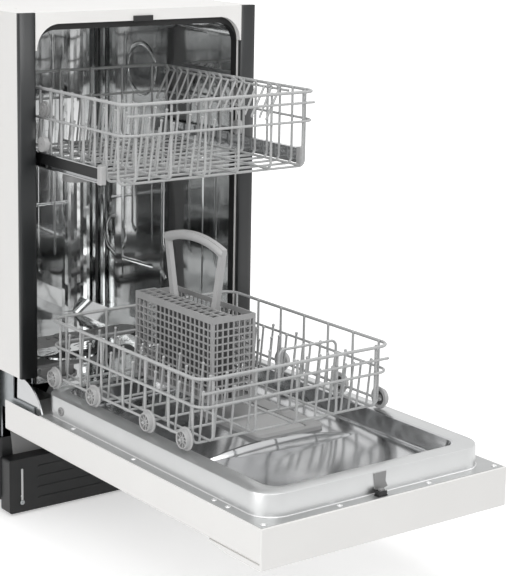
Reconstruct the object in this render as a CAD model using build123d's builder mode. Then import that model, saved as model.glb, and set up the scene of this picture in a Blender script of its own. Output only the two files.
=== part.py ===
from build123d import *
import math
import os

os.makedirs("parts", exist_ok=True)

# Slim built-in dishwasher, 45 cm wide, shown with its door open and both racks pulled out.
# Millimetres. X runs across the machine, -Y is towards the user, Z is up, z = 0 is the floor.

# Driving dimensions of the cabinet
WIDTH = 448.0
HEIGHT = 825.0
CABINET_DEPTH = 525.0
SHEET = 1.2
FOOT_HEIGHT = 22.0

# Driving dimensions of the door, given with the door lying open
DOOR_SIDE_GAP = 1.0
DOOR_WIDTH = WIDTH - 2 * DOOR_SIDE_GAP
DOOR_REACH = 632.0
DOOR_TAIL = 58.0
RIM_HEIGHT = 199.5
PANEL_THICKNESS = 50.0
RIM_WIDTH = 32.0
FASCIA_LENGTH = 120.0
FASCIA_SLOPE = 45.0
FASCIA_DROP = 7.5
FASCIA_WALL = 3.0

# The y of the tub's front plane puts the middle of the whole depth at y = 0
FRONT = (DOOR_REACH - CABINET_DEPTH) / 2
BACK = FRONT + CABINET_DEPTH
HALF = WIDTH / 2

# Hinge axis
HINGE_AHEAD = 10.0
HINGE_DROP = 7.0
HINGE_Y = FRONT - HINGE_AHEAD
HINGE_Z = RIM_HEIGHT - HINGE_DROP
PIN_DIAMETER = 8.0
PIN_CLEARANCE = 0.3

# Tub opening, walls and front frame
TRIM_WIDTH = 28.8
TRIM_DEPTH = 8.0
TRIM_BOTTOM = 247.0
RIB_COUNT = 5
RIB_DEPTH = 1.5
FRAME_SIDE = 31.0
FRAME_HEAD = 18.0
OPENING_HALF = HALF - FRAME_SIDE
OPENING_TOP = HEIGHT - FRAME_HEAD
OPENING_RADIUS = 40.0
FRAME_SHEET = 2.0
TUB_SIDE_LIP = 3.0
TUB_TOP_LIP = 5.0
REAR_SPACE = 39.0
TUB_HALF = OPENING_HALF + TUB_SIDE_LIP
TUB_TOP = OPENING_TOP + TUB_TOP_LIP
TUB_BACK = BACK - REAR_SPACE
TUB_FLOOR = 205.0
TRACK_WIDTH = 28.0
GASKET_DEPTH = 14.0
GASKET_WALL = 4.0
GASKET_HANG = 14.0
JOIN = 0.05

# Door liner, on whose raised border the lower rack's wheels roll
LINER_SIDE = 29.0
LINER_HALF = HALF - LINER_SIDE
LINER_END = 49.0
LINER_FRONT = FRONT - DOOR_REACH + LINER_END
LINER_TAIL = FRONT - 22.0
LINER_RISE = 33.5
LINER_BORDER = 27.0
LINER_RECESS = 26.0
LINER_RADIUS = 32.0
LINER_TAPER = 8.0
TRACK_HEIGHT = RIM_HEIGHT + LINER_RISE

# Wire sizes shared by both racks
WIRE = 4.0
RAIL_WIRE = 5.0
WELD = 0.05
BEND = 22.0

# Lower rack
WHEEL_DIAMETER = 35.0
WHEEL_WIDTH = 10.0
WHEEL_AXLE = 5.0
ROLL_CLEARANCE = 0.3
WHEEL_Z = TRACK_HEIGHT + WHEEL_DIAMETER / 2 + ROLL_CLEARANCE
WHEEL_OUT = LINER_HALF - LINER_BORDER / 2 + 2.0
WHEEL_PLACES = (-30.0, -147.0, -298.0, -394.0)
LOWER_SIDE = 23.0
LOWER_HALF = LINER_HALF - LOWER_SIDE
LOWER_FRONT = FRONT - 418.0
LOWER_BACK = FRONT - 12.0
LOWER_TOP = 342.0
LOWER_FLOOR = 243.0
LOWER_HOOPS = 7
LOWER_RUNNERS = 5
LOWER_RAIL_STEP = 20.5

# Upper rack
UPPER_SIDE = 19.5
UPPER_BELOW_TOP = 118.0
UPPER_DEPTH = 121.0
UPPER_HALF = OPENING_HALF - UPPER_SIDE
UPPER_FRONT = FRONT - 222.0
UPPER_BACK = FRONT + 208.0
UPPER_TOP = HEIGHT - UPPER_BELOW_TOP
UPPER_FLOOR = UPPER_TOP - UPPER_DEPTH
UPPER_HOOPS = 13
UPPER_RUNNERS = 6

# Cutlery basket
BASKET_X = (-56.0, 25.0)
BASKET_Y = (FRONT - 281.0, FRONT - 69.0)
BASKET_TOP = 385.0
BASKET_WALL = 2.0


def save(node, name):
    node.part.label = name
    export_step(node.part, f"parts/{name}.step")


def rod(start, end, diameter=WIRE):
    """A straight round wire between two points."""
    run = Vector(*end) - Vector(*start)
    with Locations(Plane(origin=start, z_dir=run)):
        Cylinder(diameter / 2, run.length, align=(Align.CENTER, Align.CENTER, Align.MIN))


def elbow(center, first, second, radius, diameter=WIRE):
    """A quarter bend of wire about center, from the first direction to the second."""
    normal = Vector(*first).cross(Vector(*second))
    with Locations(Plane(origin=center, x_dir=first, z_dir=normal)):
        Torus(radius, diameter / 2, major_angle=90, align=None)


def bent_u(corner_a, corner_b, rise, diameter=WIRE, radius=10.0, up=Vector(0, 0, 1)):
    """A wire with two legs that point up, joined by a straight run between two corners."""
    a = Vector(*corner_a)
    b = Vector(*corner_b)
    along = (b - a).normalized()
    rod(tuple(a + along * (radius + JOIN)), tuple(b - along * (radius + JOIN)), diameter)
    for corner, inward in ((a, along), (b, -along)):
        middle = corner + inward * radius + up * radius
        elbow(tuple(middle), tuple(-inward), tuple(-up), radius, diameter)
        rod(tuple(corner + up * (radius + JOIN)), tuple(corner + up * rise), diameter)


def rail_loop(half, front, back, height, diameter, radius=BEND):
    """A rectangular rail of wire with four rounded corners, lying level."""
    rod((-half + radius + JOIN, front, height), (half - radius - JOIN, front, height), diameter)
    rod((-half + radius + JOIN, back, height), (half - radius - JOIN, back, height), diameter)
    for side in (-1, 1):
        rod((side * half, front + radius + JOIN, height),
            (side * half, back - radius - JOIN, height), diameter)
        center_x = side * (half - radius)
        elbow((center_x, front + radius, height), (side, 0, 0), (0, -1, 0), radius, diameter)
        elbow((center_x, back - radius, height), (side, 0, 0), (0, 1, 0), radius, diameter)


def spread(first, last, count):
    """Evenly spaced places from first to last."""
    return [first + (last - first) * i / (count - 1) for i in range(count)]


def block(low, high):
    """A rectangular block between two opposite corners."""
    size = [h - l for l, h in zip(low, high)]
    with Locations(tuple(low)):
        Box(*size, align=(Align.MIN, Align.MIN, Align.MIN))


def arch(half, top, bottom, radius):
    """A face like a doorway: square at the bottom, with two rounded corners at the top."""
    with BuildSketch() as face:
        with Locations((0, (top + bottom) / 2)):
            Rectangle(2 * half, top - bottom)
        fillet(face.vertices().group_by(Axis.Y)[-1], radius)
    return face.sketch


# Tub wrapper: left wall, ceiling and right wall in one bent sheet with pressed ribs
TUB_FRONT = FRONT + TRIM_DEPTH + FRAME_SHEET
WALL_BOTTOM = TRACK_HEIGHT
WALL_RIB = 1.6
WALL_RIB_WIDTH = 26.0
WALL_RIB_RADIUS = 12.0
WALL_RIB_PLACES = (120.0, 250.0, 380.0)
RIB_FOOT = 285.0
RIB_HEAD = 560.0
with BuildPart() as tub_wrapper:
    with BuildSketch(Plane.XZ.offset(-TUB_BACK)):
        add(arch(TUB_HALF + SHEET, TUB_TOP, WALL_BOTTOM, OPENING_RADIUS + SHEET))
        add(arch(TUB_HALF, TUB_TOP - SHEET, WALL_BOTTOM, OPENING_RADIUS), mode=Mode.SUBTRACT)
    extrude(amount=TUB_BACK - TUB_FRONT)
    for side in (-1, 1):
        for place in WALL_RIB_PLACES:
            with BuildSketch(Plane.YZ.offset(side * TUB_HALF)):
                with Locations((FRONT + place, (RIB_FOOT + RIB_HEAD) / 2)):
                    RectangleRounded(WALL_RIB_WIDTH, RIB_HEAD - RIB_FOOT, WALL_RIB_RADIUS)
            extrude(amount=-side * WALL_RIB)
save(tub_wrapper, "tub_wrapper")

# Tub back wall, with a round boss and two tall pressings
BACK_RIB_X = (-110.0, 110.0)
with BuildPart() as tub_back:
    with BuildSketch(Plane.XZ.offset(-TUB_BACK)):
        with Locations((0, (TUB_TOP + TUB_FLOOR) / 2)):
            RectangleRounded(2 * (TUB_HALF + SHEET), TUB_TOP - TUB_FLOOR, OPENING_RADIUS)
    extrude(amount=-SHEET)
    for place in BACK_RIB_X:
        with BuildSketch(Plane.XZ.offset(-TUB_BACK)):
            with Locations((place, (RIB_FOOT + RIB_HEAD) / 2)):
                RectangleRounded(2 * WALL_RIB_WIDTH, RIB_HEAD - RIB_FOOT, WALL_RIB_RADIUS)
        extrude(amount=WALL_RIB)
    with BuildSketch(Plane.XZ.offset(-TUB_BACK)):
        with Locations((0, RIB_HEAD + 140)):
            Circle(2 * WALL_RIB_WIDTH)
    extrude(amount=WALL_RIB)
save(tub_back, "tub_back")

# Tub floor: a pan between two raised wheel tracks, with the holes for sump, filter and float
ARM_PLACE = (0.0, FRONT + 250.0)
FILTER_PLACE = (-85.0, FRONT + 130.0)
FLOAT_PLACE = (112.0, FRONT + 112.0)
SUMP_RADIUS = 55.0
FILTER_RADIUS = 34.0
FLOAT_RADIUS = 16.0
TRACK_SLOPE = 14.0
with BuildPart() as tub_floor:
    with BuildSketch(Plane.XZ.offset(-TUB_FRONT)):
        with BuildLine():
            inner = TUB_HALF - TRACK_WIDTH
            Polyline(
                (-TUB_HALF - SHEET, TRACK_HEIGHT - JOIN), (-inner, TRACK_HEIGHT - JOIN),
                (-inner + TRACK_SLOPE, TUB_FLOOR), (inner - TRACK_SLOPE, TUB_FLOOR),
                (inner, TRACK_HEIGHT - JOIN), (TUB_HALF + SHEET, TRACK_HEIGHT - JOIN),
                (TUB_HALF + SHEET, TRACK_HEIGHT - JOIN - SHEET), (inner + SHEET, TRACK_HEIGHT - JOIN - SHEET),
                (inner - TRACK_SLOPE + SHEET / 2, TUB_FLOOR - SHEET),
                (-inner + TRACK_SLOPE - SHEET / 2, TUB_FLOOR - SHEET),
                (-inner - SHEET, TRACK_HEIGHT - JOIN - SHEET),
                (-TUB_HALF - SHEET, TRACK_HEIGHT - JOIN - SHEET),
                close=True)
        make_face()
    extrude(amount=-(TUB_BACK - JOIN - TUB_FRONT))
    with BuildSketch(Plane.XY.offset(TUB_FLOOR - 2 * SHEET)):
        with Locations(ARM_PLACE):
            Circle(SUMP_RADIUS)
        with Locations(FILTER_PLACE):
            Circle(FILTER_RADIUS)
        with Locations(FLOAT_PLACE):
            Circle(FLOAT_RADIUS)
    extrude(amount=4 * SHEET, mode=Mode.SUBTRACT)
save(tub_floor, "tub_floor")

# Front frame: the bright flange round the opening, hanging from the top rail
FRAME_BOTTOM = TRIM_BOTTOM
with BuildPart() as front_frame:
    with BuildSketch(Plane.XZ.offset(-FRONT - TRIM_DEPTH)):
        with Locations((0, (HEIGHT + FRAME_BOTTOM) / 2)):
            Rectangle(WIDTH - 2 * SHEET, HEIGHT - FRAME_BOTTOM)
        add(arch(OPENING_HALF, OPENING_TOP, FRAME_BOTTOM, OPENING_RADIUS), mode=Mode.SUBTRACT)
    extrude(amount=-FRAME_SHEET)
    with BuildSketch(Plane.XZ.offset(-FRONT)):
        with Locations((0, (HEIGHT + OPENING_TOP - OPENING_RADIUS) / 2)):
            Rectangle(WIDTH - 2 * TRIM_WIDTH - 2 * JOIN, HEIGHT - OPENING_TOP + OPENING_RADIUS)
        add(arch(OPENING_HALF, OPENING_TOP, FRAME_BOTTOM, OPENING_RADIUS), mode=Mode.SUBTRACT)
    extrude(amount=-TRIM_DEPTH)
save(front_frame, "front_frame")

# Side trims: ribbed strips that hide the gap beside the cabinets
with BuildPart() as side_trims:
    groove = TRIM_WIDTH / (2 * RIB_COUNT + 1)
    for side in (-1, 1):
        with BuildSketch(Plane.XY.offset(TRIM_BOTTOM)):
            with Locations((side * (HALF - TRIM_WIDTH / 2), FRONT + TRIM_DEPTH / 2)):
                Rectangle(TRIM_WIDTH, TRIM_DEPTH)
            with Locations((side * (HALF - TRIM_WIDTH / 2), FRONT)):
                with GridLocations(2 * groove, 0, RIB_COUNT, 1):
                    Rectangle(groove, 2 * RIB_DEPTH, mode=Mode.SUBTRACT)
        extrude(amount=HEIGHT - TRIM_BOTTOM)
save(side_trims, "side_trims")

# Door gasket: a rubber channel round the two sides and the top of the opening
GASKET_FRONT = TUB_FRONT + JOIN
GASKET_HALF = TUB_HALF - JOIN
GASKET_TOP = TUB_TOP - SHEET - JOIN
with BuildPart() as door_gasket:
    with BuildSketch(Plane.XZ.offset(-GASKET_FRONT)):
        add(arch(GASKET_HALF, GASKET_TOP, TRACK_HEIGHT + JOIN, OPENING_RADIUS))
        add(arch(GASKET_HALF - GASKET_WALL, GASKET_TOP - GASKET_HANG, TRACK_HEIGHT + JOIN,
                 OPENING_RADIUS - GASKET_WALL), mode=Mode.SUBTRACT)
    extrude(amount=-GASKET_DEPTH)
save(door_gasket, "door_gasket")

# Latch striker on the top rail
STRIKER_SIZE = (36.0, 4.0, 10.0)
STRIKER_Z = OPENING_TOP + 3.0
with BuildPart() as latch_striker:
    with Locations((0, FRONT - JOIN, STRIKER_Z)):
        Box(*STRIKER_SIZE, align=(Align.CENTER, Align.MAX, Align.CENTER))
    chamfer(latch_striker.faces().sort_by(Axis.Y)[0].edges(), 1)
save(latch_striker, "latch_striker")

# Cabinet sheets: two sides notched for the door's tail, a top with fixing holes,
# and a back with openings for the connections
SHELL_BOTTOM = FOOT_HEIGHT + 3.0
TRAY_SETBACK = 82.0
TRAY_FRONT = FRONT + TRAY_SETBACK
PANEL_FRONT = FRONT + TRIM_DEPTH + JOIN
FIXING_HOLE = 5.2
FIXING_SPACING = (360.0, 60.0)
FIXING_BACK = 60.0
with BuildPart() as side_panels:
    for side in (-1, 1):
        with BuildSketch(Plane.YZ.offset(side * HALF)):
            with BuildLine():
                Polyline((PANEL_FRONT, TRIM_BOTTOM), (PANEL_FRONT, HEIGHT - SHEET - JOIN),
                         (BACK, HEIGHT - SHEET - JOIN), (BACK, SHELL_BOTTOM), (TRAY_FRONT, SHELL_BOTTOM),
                         (TRAY_FRONT, TRIM_BOTTOM), close=True)
            make_face()
        extrude(amount=-side * SHEET)
save(side_panels, "side_panels")

with BuildPart() as top_panel:
    block((-HALF, TUB_FRONT + JOIN, HEIGHT - SHEET), (HALF, BACK, HEIGHT))
    with Locations((0, FRONT + FIXING_BACK, HEIGHT)):
        with GridLocations(*FIXING_SPACING, 2, 2):
            Hole(FIXING_HOLE / 2, depth=2 * SHEET)
save(top_panel, "top_panel")

CONNECTION_SIDE = 74.0
INLET_X = CONNECTION_SIDE - HALF
DRAIN_X = HALF - CONNECTION_SIDE
CONNECTION_Z = 70.0
CONNECTION_HOLE = 44.0
with BuildPart() as back_panel:
    block((-HALF + SHEET + JOIN, BACK - SHEET, SHELL_BOTTOM),
          (HALF - SHEET - JOIN, BACK, HEIGHT - SHEET - JOIN))
    with BuildSketch(Plane.XZ.offset(-BACK)):
        for place in (INLET_X, DRAIN_X):
            with Locations((place, CONNECTION_Z)):
                Circle(CONNECTION_HOLE / 2)
    extrude(amount=2 * SHEET, mode=Mode.SUBTRACT)
save(back_panel, "back_panel")

# Base tray that carries the pumps, with its front set back behind the kick plate
TRAY_WALL = 3.0
TRAY_TOP = 128.0
TRAY_HALF = HALF - SHEET - JOIN
TRAY_BACK = BACK - SHEET - JOIN
TRAY_FLOOR = FOOT_HEIGHT + TRAY_WALL
with BuildPart() as base_tray:
    block((-TRAY_HALF, TRAY_FRONT, FOOT_HEIGHT), (TRAY_HALF, TRAY_BACK, TRAY_TOP))
    fillet(base_tray.edges().filter_by(Axis.Z), 8)
    offset(amount=-TRAY_WALL, openings=base_tray.faces().sort_by(Axis.Z)[-1])
    with BuildSketch(Plane.XZ.offset(-BACK)):
        for place in (INLET_X, DRAIN_X):
            with Locations((place, CONNECTION_Z)):
                Circle(CONNECTION_HOLE / 2)
    extrude(amount=4 * TRAY_WALL, mode=Mode.SUBTRACT)
save(base_tray, "base_tray")

# Grey cover plate between the door's tail and the kick plate
COVER_SIDE = 18.0
COVER_HALF = HALF - COVER_SIDE
COVER_TOP = 180.0
KICK_TOP = 96.0
KICK_BOTTOM = 5.0
with BuildPart() as base_cover:
    with BuildSketch(Plane.XZ.offset(-TRAY_FRONT + JOIN)):
        with BuildLine():
            Polyline((-COVER_HALF + 10, KICK_TOP - 8), (COVER_HALF - 10, KICK_TOP - 8),
                     (COVER_HALF, COVER_TOP),
                     (-COVER_HALF, COVER_TOP), close=True)
        make_face()
    extrude(amount=SHEET)
save(base_cover, "base_cover")

# Kick plate: a shallow ribbed tray with a height slot near each end
KICK_SIDE = 4.0
KICK_HALF = HALF - KICK_SIDE
KICK_WALL = 2.0
KICK_AHEAD = 30.0
KICK_FRONT = TRAY_FRONT - KICK_AHEAD
SLOT_SIDE = 23.0
SLOT_X = KICK_HALF - SLOT_SIDE
SLOT_SIZE = (52.0, 4.0)
KICK_RIB = (150.0, 4.0)
with BuildPart() as kick_plate:
    block((-KICK_HALF, KICK_FRONT, KICK_BOTTOM), (KICK_HALF, TRAY_FRONT - SHEET - 3 * JOIN, KICK_TOP))
    fillet(kick_plate.edges().filter_by(Axis.Y), 5)
    offset(amount=-KICK_WALL, openings=kick_plate.faces().sort_by(Axis.Y)[-1])
    with BuildSketch(Plane.XZ.offset(-KICK_FRONT)):
        with GridLocations(2 * KICK_HALF / 2.4, 18, 2, 4):
            with Locations((0, (KICK_TOP + KICK_BOTTOM) / 2)):
                SlotOverall(*KICK_RIB)
    extrude(amount=1)
    with BuildSketch(Plane.XZ.offset(-KICK_FRONT)):
        for side in (-1, 1):
            with Locations((side * SLOT_X, (KICK_TOP + KICK_BOTTOM) / 2)):
                SlotOverall(*SLOT_SIZE, rotation=90)
    extrude(amount=-2 * KICK_WALL, mode=Mode.SUBTRACT)
save(kick_plate, "kick_plate")

# Levelling feet
FOOT_PAD = 18.0
FOOT_PAD_HEIGHT = 8.0
FOOT_STEM = 6.0
FOOT_SIDE = 39.0
FOOT_X = HALF - FOOT_SIDE
FOOT_FRONT = FRONT + 105.0
FOOT_BACK = BACK - 45.0
with BuildPart() as levelling_feet:
    for x in (-FOOT_X, FOOT_X):
        for y in (FOOT_FRONT, FOOT_BACK):
            with Locations((x, y, 0)):
                Cylinder(FOOT_PAD, FOOT_PAD_HEIGHT, align=(Align.CENTER, Align.CENTER, Align.MIN))
                Cylinder(FOOT_STEM, FOOT_HEIGHT - JOIN, align=(Align.CENTER, Align.CENTER, Align.MIN))
    chamfer(levelling_feet.faces().filter_by(Axis.Z).group_by(Axis.Z)[0].edges(), 1.5)
save(levelling_feet, "levelling_feet")

# Cast balance weight at the rear of the base
WEIGHT_SIZE = (200.0, 95.0, 76.0)
with BuildPart() as balance_weight:
    with Locations((0, TRAY_BACK - TRAY_WALL - JOIN, TRAY_FLOOR + JOIN)):
        Box(*WEIGHT_SIZE, align=(Align.CENTER, Align.MAX, Align.MIN))
    chamfer(balance_weight.edges().filter_by(Axis.Z), 6)
save(balance_weight, "balance_weight")

# Sump bowl under the tub floor, with the bearing post of the lower spray arm and the filter well
SUMP_BOTTOM = 128.0
SUMP_WALL = 3.0
POST_RADIUS = 9.0
ARM_Z = 220.0
ARM_THICKNESS = 11.0
POST_TOP = ARM_Z + ARM_THICKNESS + 4.0
UNDER_FLOOR = TUB_FLOOR - SHEET - JOIN
with BuildPart() as sump:
    with Locations((*ARM_PLACE, SUMP_BOTTOM)):
        Cylinder(SUMP_RADIUS + SUMP_WALL, UNDER_FLOOR - SUMP_BOTTOM,
                 align=(Align.CENTER, Align.CENTER, Align.MIN))
    with Locations((*FILTER_PLACE, SUMP_BOTTOM)):
        Cylinder(FILTER_RADIUS + 2 * SUMP_WALL, UNDER_FLOOR - SUMP_BOTTOM,
                 align=(Align.CENTER, Align.CENTER, Align.MIN))
    middle = ((ARM_PLACE[0] + FILTER_PLACE[0]) / 2, (ARM_PLACE[1] + FILTER_PLACE[1]) / 2)
    run = Vector(ARM_PLACE[0] - FILTER_PLACE[0], ARM_PLACE[1] - FILTER_PLACE[1], 0)
    with Locations(Location((*middle, SUMP_BOTTOM), (0, 0, math.degrees(math.atan2(run.Y, run.X))))):
        Box(run.length, FILTER_RADIUS, (UNDER_FLOOR - SUMP_BOTTOM) / 2,
            align=(Align.CENTER, Align.CENTER, Align.MIN))
    with Locations((*ARM_PLACE, SUMP_BOTTOM + SUMP_WALL)):
        Cylinder(SUMP_RADIUS, UNDER_FLOOR - SUMP_BOTTOM, align=(Align.CENTER, Align.CENTER, Align.MIN),
                 mode=Mode.SUBTRACT)
    with Locations((*FILTER_PLACE, SUMP_BOTTOM + SUMP_WALL)):
        Cylinder(FILTER_RADIUS, UNDER_FLOOR - SUMP_BOTTOM, align=(Align.CENTER, Align.CENTER, Align.MIN),
                 mode=Mode.SUBTRACT)
    with Locations((*ARM_PLACE, SUMP_BOTTOM)):
        Cylinder(POST_RADIUS, POST_TOP - SUMP_BOTTOM, align=(Align.CENTER, Align.CENTER, Align.MIN))
save(sump, "sump")

# Filter cartridge, turned by its grip, and the fine filter plate round it
FILTER_TOP = TUB_FLOOR + 3.0
FILTER_GAP = 0.4
with BuildPart() as filter_cartridge:
    with Locations((*FILTER_PLACE, SUMP_BOTTOM + SUMP_WALL + FILTER_GAP)):
        Cylinder(FILTER_RADIUS - FILTER_GAP, FILTER_TOP - SUMP_BOTTOM - SUMP_WALL - FILTER_GAP,
                 align=(Align.CENTER, Align.CENTER, Align.MIN))
    offset(amount=-2, openings=filter_cartridge.faces().sort_by(Axis.Z)[-1])
    with Locations((*FILTER_PLACE, FILTER_TOP)):
        Box(2 * FILTER_RADIUS - 4, 4, 16, align=(Align.CENTER, Align.CENTER, Align.CENTER))
save(filter_cartridge, "filter_cartridge")

with BuildPart() as filter_plate:
    with BuildSketch(Plane.XY.offset(TUB_FLOOR + JOIN)):
        with Locations(ARM_PLACE):
            Circle(SUMP_RADIUS + 8)
            Circle(POST_RADIUS + 3, mode=Mode.SUBTRACT)
            with PolarLocations(SUMP_RADIUS - 16, 18):
                SlotOverall(26, 3, mode=Mode.SUBTRACT)
    extrude(amount=1.5)
save(filter_plate, "filter_plate")

# Pumps and valve in the base
PUMP_RADIUS = 44.0
PUMP_LENGTH = 150.0
PUMP_PLACE = (90.0, FRONT + 215.0)
DRAIN_RADIUS = 24.0
SPIGOT_RADIUS = 9.5
INLET_RADIUS = 13.2
with BuildPart() as circulation_pump:
    pump_axis = Plane(origin=(PUMP_PLACE[0], PUMP_PLACE[1], TRAY_FLOOR + PUMP_RADIUS + JOIN), z_dir=(0, 1, 0))
    with Locations(pump_axis):
        Cylinder(PUMP_RADIUS, PUMP_LENGTH * 0.6)
        Cylinder(PUMP_RADIUS * 0.7, PUMP_LENGTH)
    fillet(circulation_pump.edges().filter_by(GeomType.CIRCLE), 3)
save(circulation_pump, "circulation_pump")

with BuildPart() as drain_pump:
    with Locations(Plane(origin=(DRAIN_X, BACK - SHEET - 6, CONNECTION_Z), z_dir=(0, -1, 0))):
        Cylinder(SPIGOT_RADIUS, 60, align=(Align.CENTER, Align.CENTER, Align.MIN))
    with Locations(Plane(origin=(DRAIN_X, BACK - 60, CONNECTION_Z), z_dir=(0, -1, 0))):
        Cylinder(DRAIN_RADIUS, 70, align=(Align.CENTER, Align.CENTER, Align.MIN))
    with Locations((DRAIN_X, BACK - 95, TRAY_FLOOR + JOIN)):
        Box(30, 40, CONNECTION_Z - TRAY_FLOOR, align=(Align.CENTER, Align.CENTER, Align.MIN))
save(drain_pump, "drain_pump")

with BuildPart() as inlet_valve:
    with Locations(Plane(origin=(INLET_X, BACK - SHEET - 4, CONNECTION_Z), z_dir=(0, -1, 0))):
        Cylinder(INLET_RADIUS, 40, align=(Align.CENTER, Align.CENTER, Align.MIN))
    with Locations((INLET_X, BACK - 60, TRAY_FLOOR + JOIN)):
        Box(34, 40, CONNECTION_Z + 18 - TRAY_FLOOR, align=(Align.CENTER, Align.CENTER, Align.MIN))
    with Locations((INLET_X, BACK - 60, CONNECTION_Z + 18)):
        Cylinder(14, 26, align=(Align.CENTER, Align.CENTER, Align.MIN))
save(inlet_valve, "inlet_valve")

# Overflow float in the tub's front corner
FLOAT_RIM = 5.0
with BuildPart() as float_cap:
    with Locations((*FLOAT_PLACE, TUB_FLOOR + JOIN)):
        Cylinder(FLOAT_RADIUS + FLOAT_RIM, 14, align=(Align.CENTER, Align.CENTER, Align.MIN))
    fillet(float_cap.faces().sort_by(Axis.Z)[-1].edges(), 4)
    with Locations((*FLOAT_PLACE, TUB_FLOOR - 26)):
        Cylinder(FLOAT_RADIUS - 1, 30, align=(Align.CENTER, Align.CENTER, Align.MIN))
save(float_cap, "float_cap")

# Feed pipe up the back wall to the shower head under the ceiling
PIPE_WIDTH = 30.0
PIPE_DEPTH = 14.0
PIPE_BACK = TUB_BACK - WALL_RIB - JOIN
CEILING = TUB_TOP - SHEET - JOIN
SHOWER_RADIUS = 30.0
with BuildPart() as feed_pipe:
    block((-PIPE_WIDTH / 2, PIPE_BACK - PIPE_DEPTH, TUB_FLOOR + JOIN), (PIPE_WIDTH / 2, PIPE_BACK, CEILING))
    block((-PIPE_WIDTH / 2, ARM_PLACE[1], CEILING - PIPE_DEPTH), (PIPE_WIDTH / 2, PIPE_BACK, CEILING))
    with Locations((*ARM_PLACE, CEILING)):
        Cylinder(SHOWER_RADIUS, PIPE_DEPTH + 8, align=(Align.CENTER, Align.CENTER, Align.MAX))
save(feed_pipe, "feed_pipe")

# Spray arms: a blade with rounded tips, a hub and rows of jet nozzles
ARM_LENGTH = 288.0
ARM_WIDTH = 40.0
HUB_RADIUS = 19.0
JET_COUNT = 4
BEARING_GAP = 0.4


def arm_body(place, height, length, bore):
    """A rotating arm whose hub turns on a round post."""
    with Locations((*place, height)):
        Cylinder(HUB_RADIUS, ARM_THICKNESS, align=(Align.CENTER, Align.CENTER, Align.MIN))
        Box(length - ARM_WIDTH, ARM_WIDTH, ARM_THICKNESS - 2, align=(Align.CENTER, Align.CENTER, Align.MIN))
        for end in (-1, 1):
            with Locations((end * (length - ARM_WIDTH) / 2, 0, 0)):
                Cylinder(ARM_WIDTH / 2, ARM_THICKNESS - 2, align=(Align.CENTER, Align.CENTER, Align.MIN))
            for step in range(JET_COUNT):
                jet_reach = HUB_RADIUS + 14 + step * (length / 2 - HUB_RADIUS - 24) / JET_COUNT
                with Locations((end * jet_reach, 0, 0)):
                    Cylinder(4, ARM_THICKNESS, align=(Align.CENTER, Align.CENTER, Align.MIN))
        Cylinder(bore, 4 * ARM_THICKNESS, mode=Mode.SUBTRACT)


with BuildPart() as lower_spray_arm:
    arm_body(ARM_PLACE, ARM_Z, ARM_LENGTH, POST_RADIUS + BEARING_GAP)
save(lower_spray_arm, "lower_spray_arm")

# Hinge brackets on the base, with the riveted pins on which the door's arms turn
BRACKET_SIDE = 11.0
BRACKET_X = HALF - BRACKET_SIDE
BRACKET_SHEET = 2.5
BRACKET_TOP = HINGE_Z + 13.0
BRACKET_TOE = 12.0
BRACKET_STEP = 54.0
BRACKET_LOW = HINGE_Z - 10.0
ARM_SHEET = 2.5
ARM_GAP = 0.6
with BuildPart() as hinge_brackets:
    for side in (-1, 1):
        with BuildSketch(Plane.YZ.offset(side * BRACKET_X)):
            with BuildLine():
                Polyline((HINGE_Y - BRACKET_TOE, BRACKET_LOW), (HINGE_Y - BRACKET_TOE, BRACKET_TOP),
                         (HINGE_Y + BRACKET_STEP, BRACKET_TOP), (HINGE_Y + BRACKET_STEP, TRIM_BOTTOM - JOIN),
                         (TRAY_FRONT + 60, TRIM_BOTTOM - JOIN),
                         (TRAY_FRONT + 60, TRAY_TOP + JOIN), (TRAY_FRONT + 4, TRAY_TOP + JOIN),
                         (TRAY_FRONT + 4, BRACKET_LOW), close=True)
            make_face()
        extrude(amount=side * BRACKET_SHEET)
        inner_end = BRACKET_X - ARM_GAP - ARM_SHEET - 3
        outer_end = BRACKET_X + BRACKET_SHEET + 2
        rod((side * inner_end, HINGE_Y, HINGE_Z), (side * outer_end, HINGE_Y, HINGE_Z), PIN_DIAMETER)
save(hinge_brackets, "hinge_brackets")

# Door outer panel: a white pan with turned-in rims, open at the tail where the hinges reach in
PANEL_FACE = RIM_HEIGHT - PANEL_THICKNESS
DOOR_HALF = DOOR_WIDTH / 2
DOOR_FRONT = FRONT - DOOR_REACH
PAN_FRONT = DOOR_FRONT + FASCIA_WALL + JOIN
PAN_TAIL = FRONT + DOOR_TAIL
PAN_EDGE = 5.0
RIM_END = FRONT - HINGE_AHEAD - 37.0
POCKET_SIZE = (180.0, 34.0, 26.0)
POCKET_Y = DOOR_FRONT + FASCIA_LENGTH + POCKET_SIZE[1] / 2 + 4.0
with BuildPart() as door_outer_panel:
    block((-DOOR_HALF, PAN_FRONT, PANEL_FACE), (DOOR_HALF, PAN_TAIL, RIM_HEIGHT))
    fillet(door_outer_panel.faces().sort_by(Axis.Z)[0].edges().filter_by(Axis.Y), PAN_EDGE)
    open_faces = [door_outer_panel.faces().sort_by(Axis.Z)[-1], door_outer_panel.faces().sort_by(Axis.Y)[-1]]
    offset(amount=-SHEET, openings=open_faces)
    for side in (-1, 1):
        outer = side * (DOOR_HALF - SHEET)
        inner = side * (DOOR_HALF - RIM_WIDTH)
        block((min(outer, inner), PAN_FRONT, RIM_HEIGHT - SHEET), (max(outer, inner), RIM_END, RIM_HEIGHT))
    block((-DOOR_HALF + SHEET, PAN_FRONT, RIM_HEIGHT - SHEET),
          (DOOR_HALF - SHEET, LINER_FRONT + 6, RIM_HEIGHT))
    with Locations((0, POCKET_Y, PANEL_FACE)):
        Box(POCKET_SIZE[0], POCKET_SIZE[1], 8 * SHEET, mode=Mode.SUBTRACT)
save(door_outer_panel, "door_outer_panel")

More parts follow.
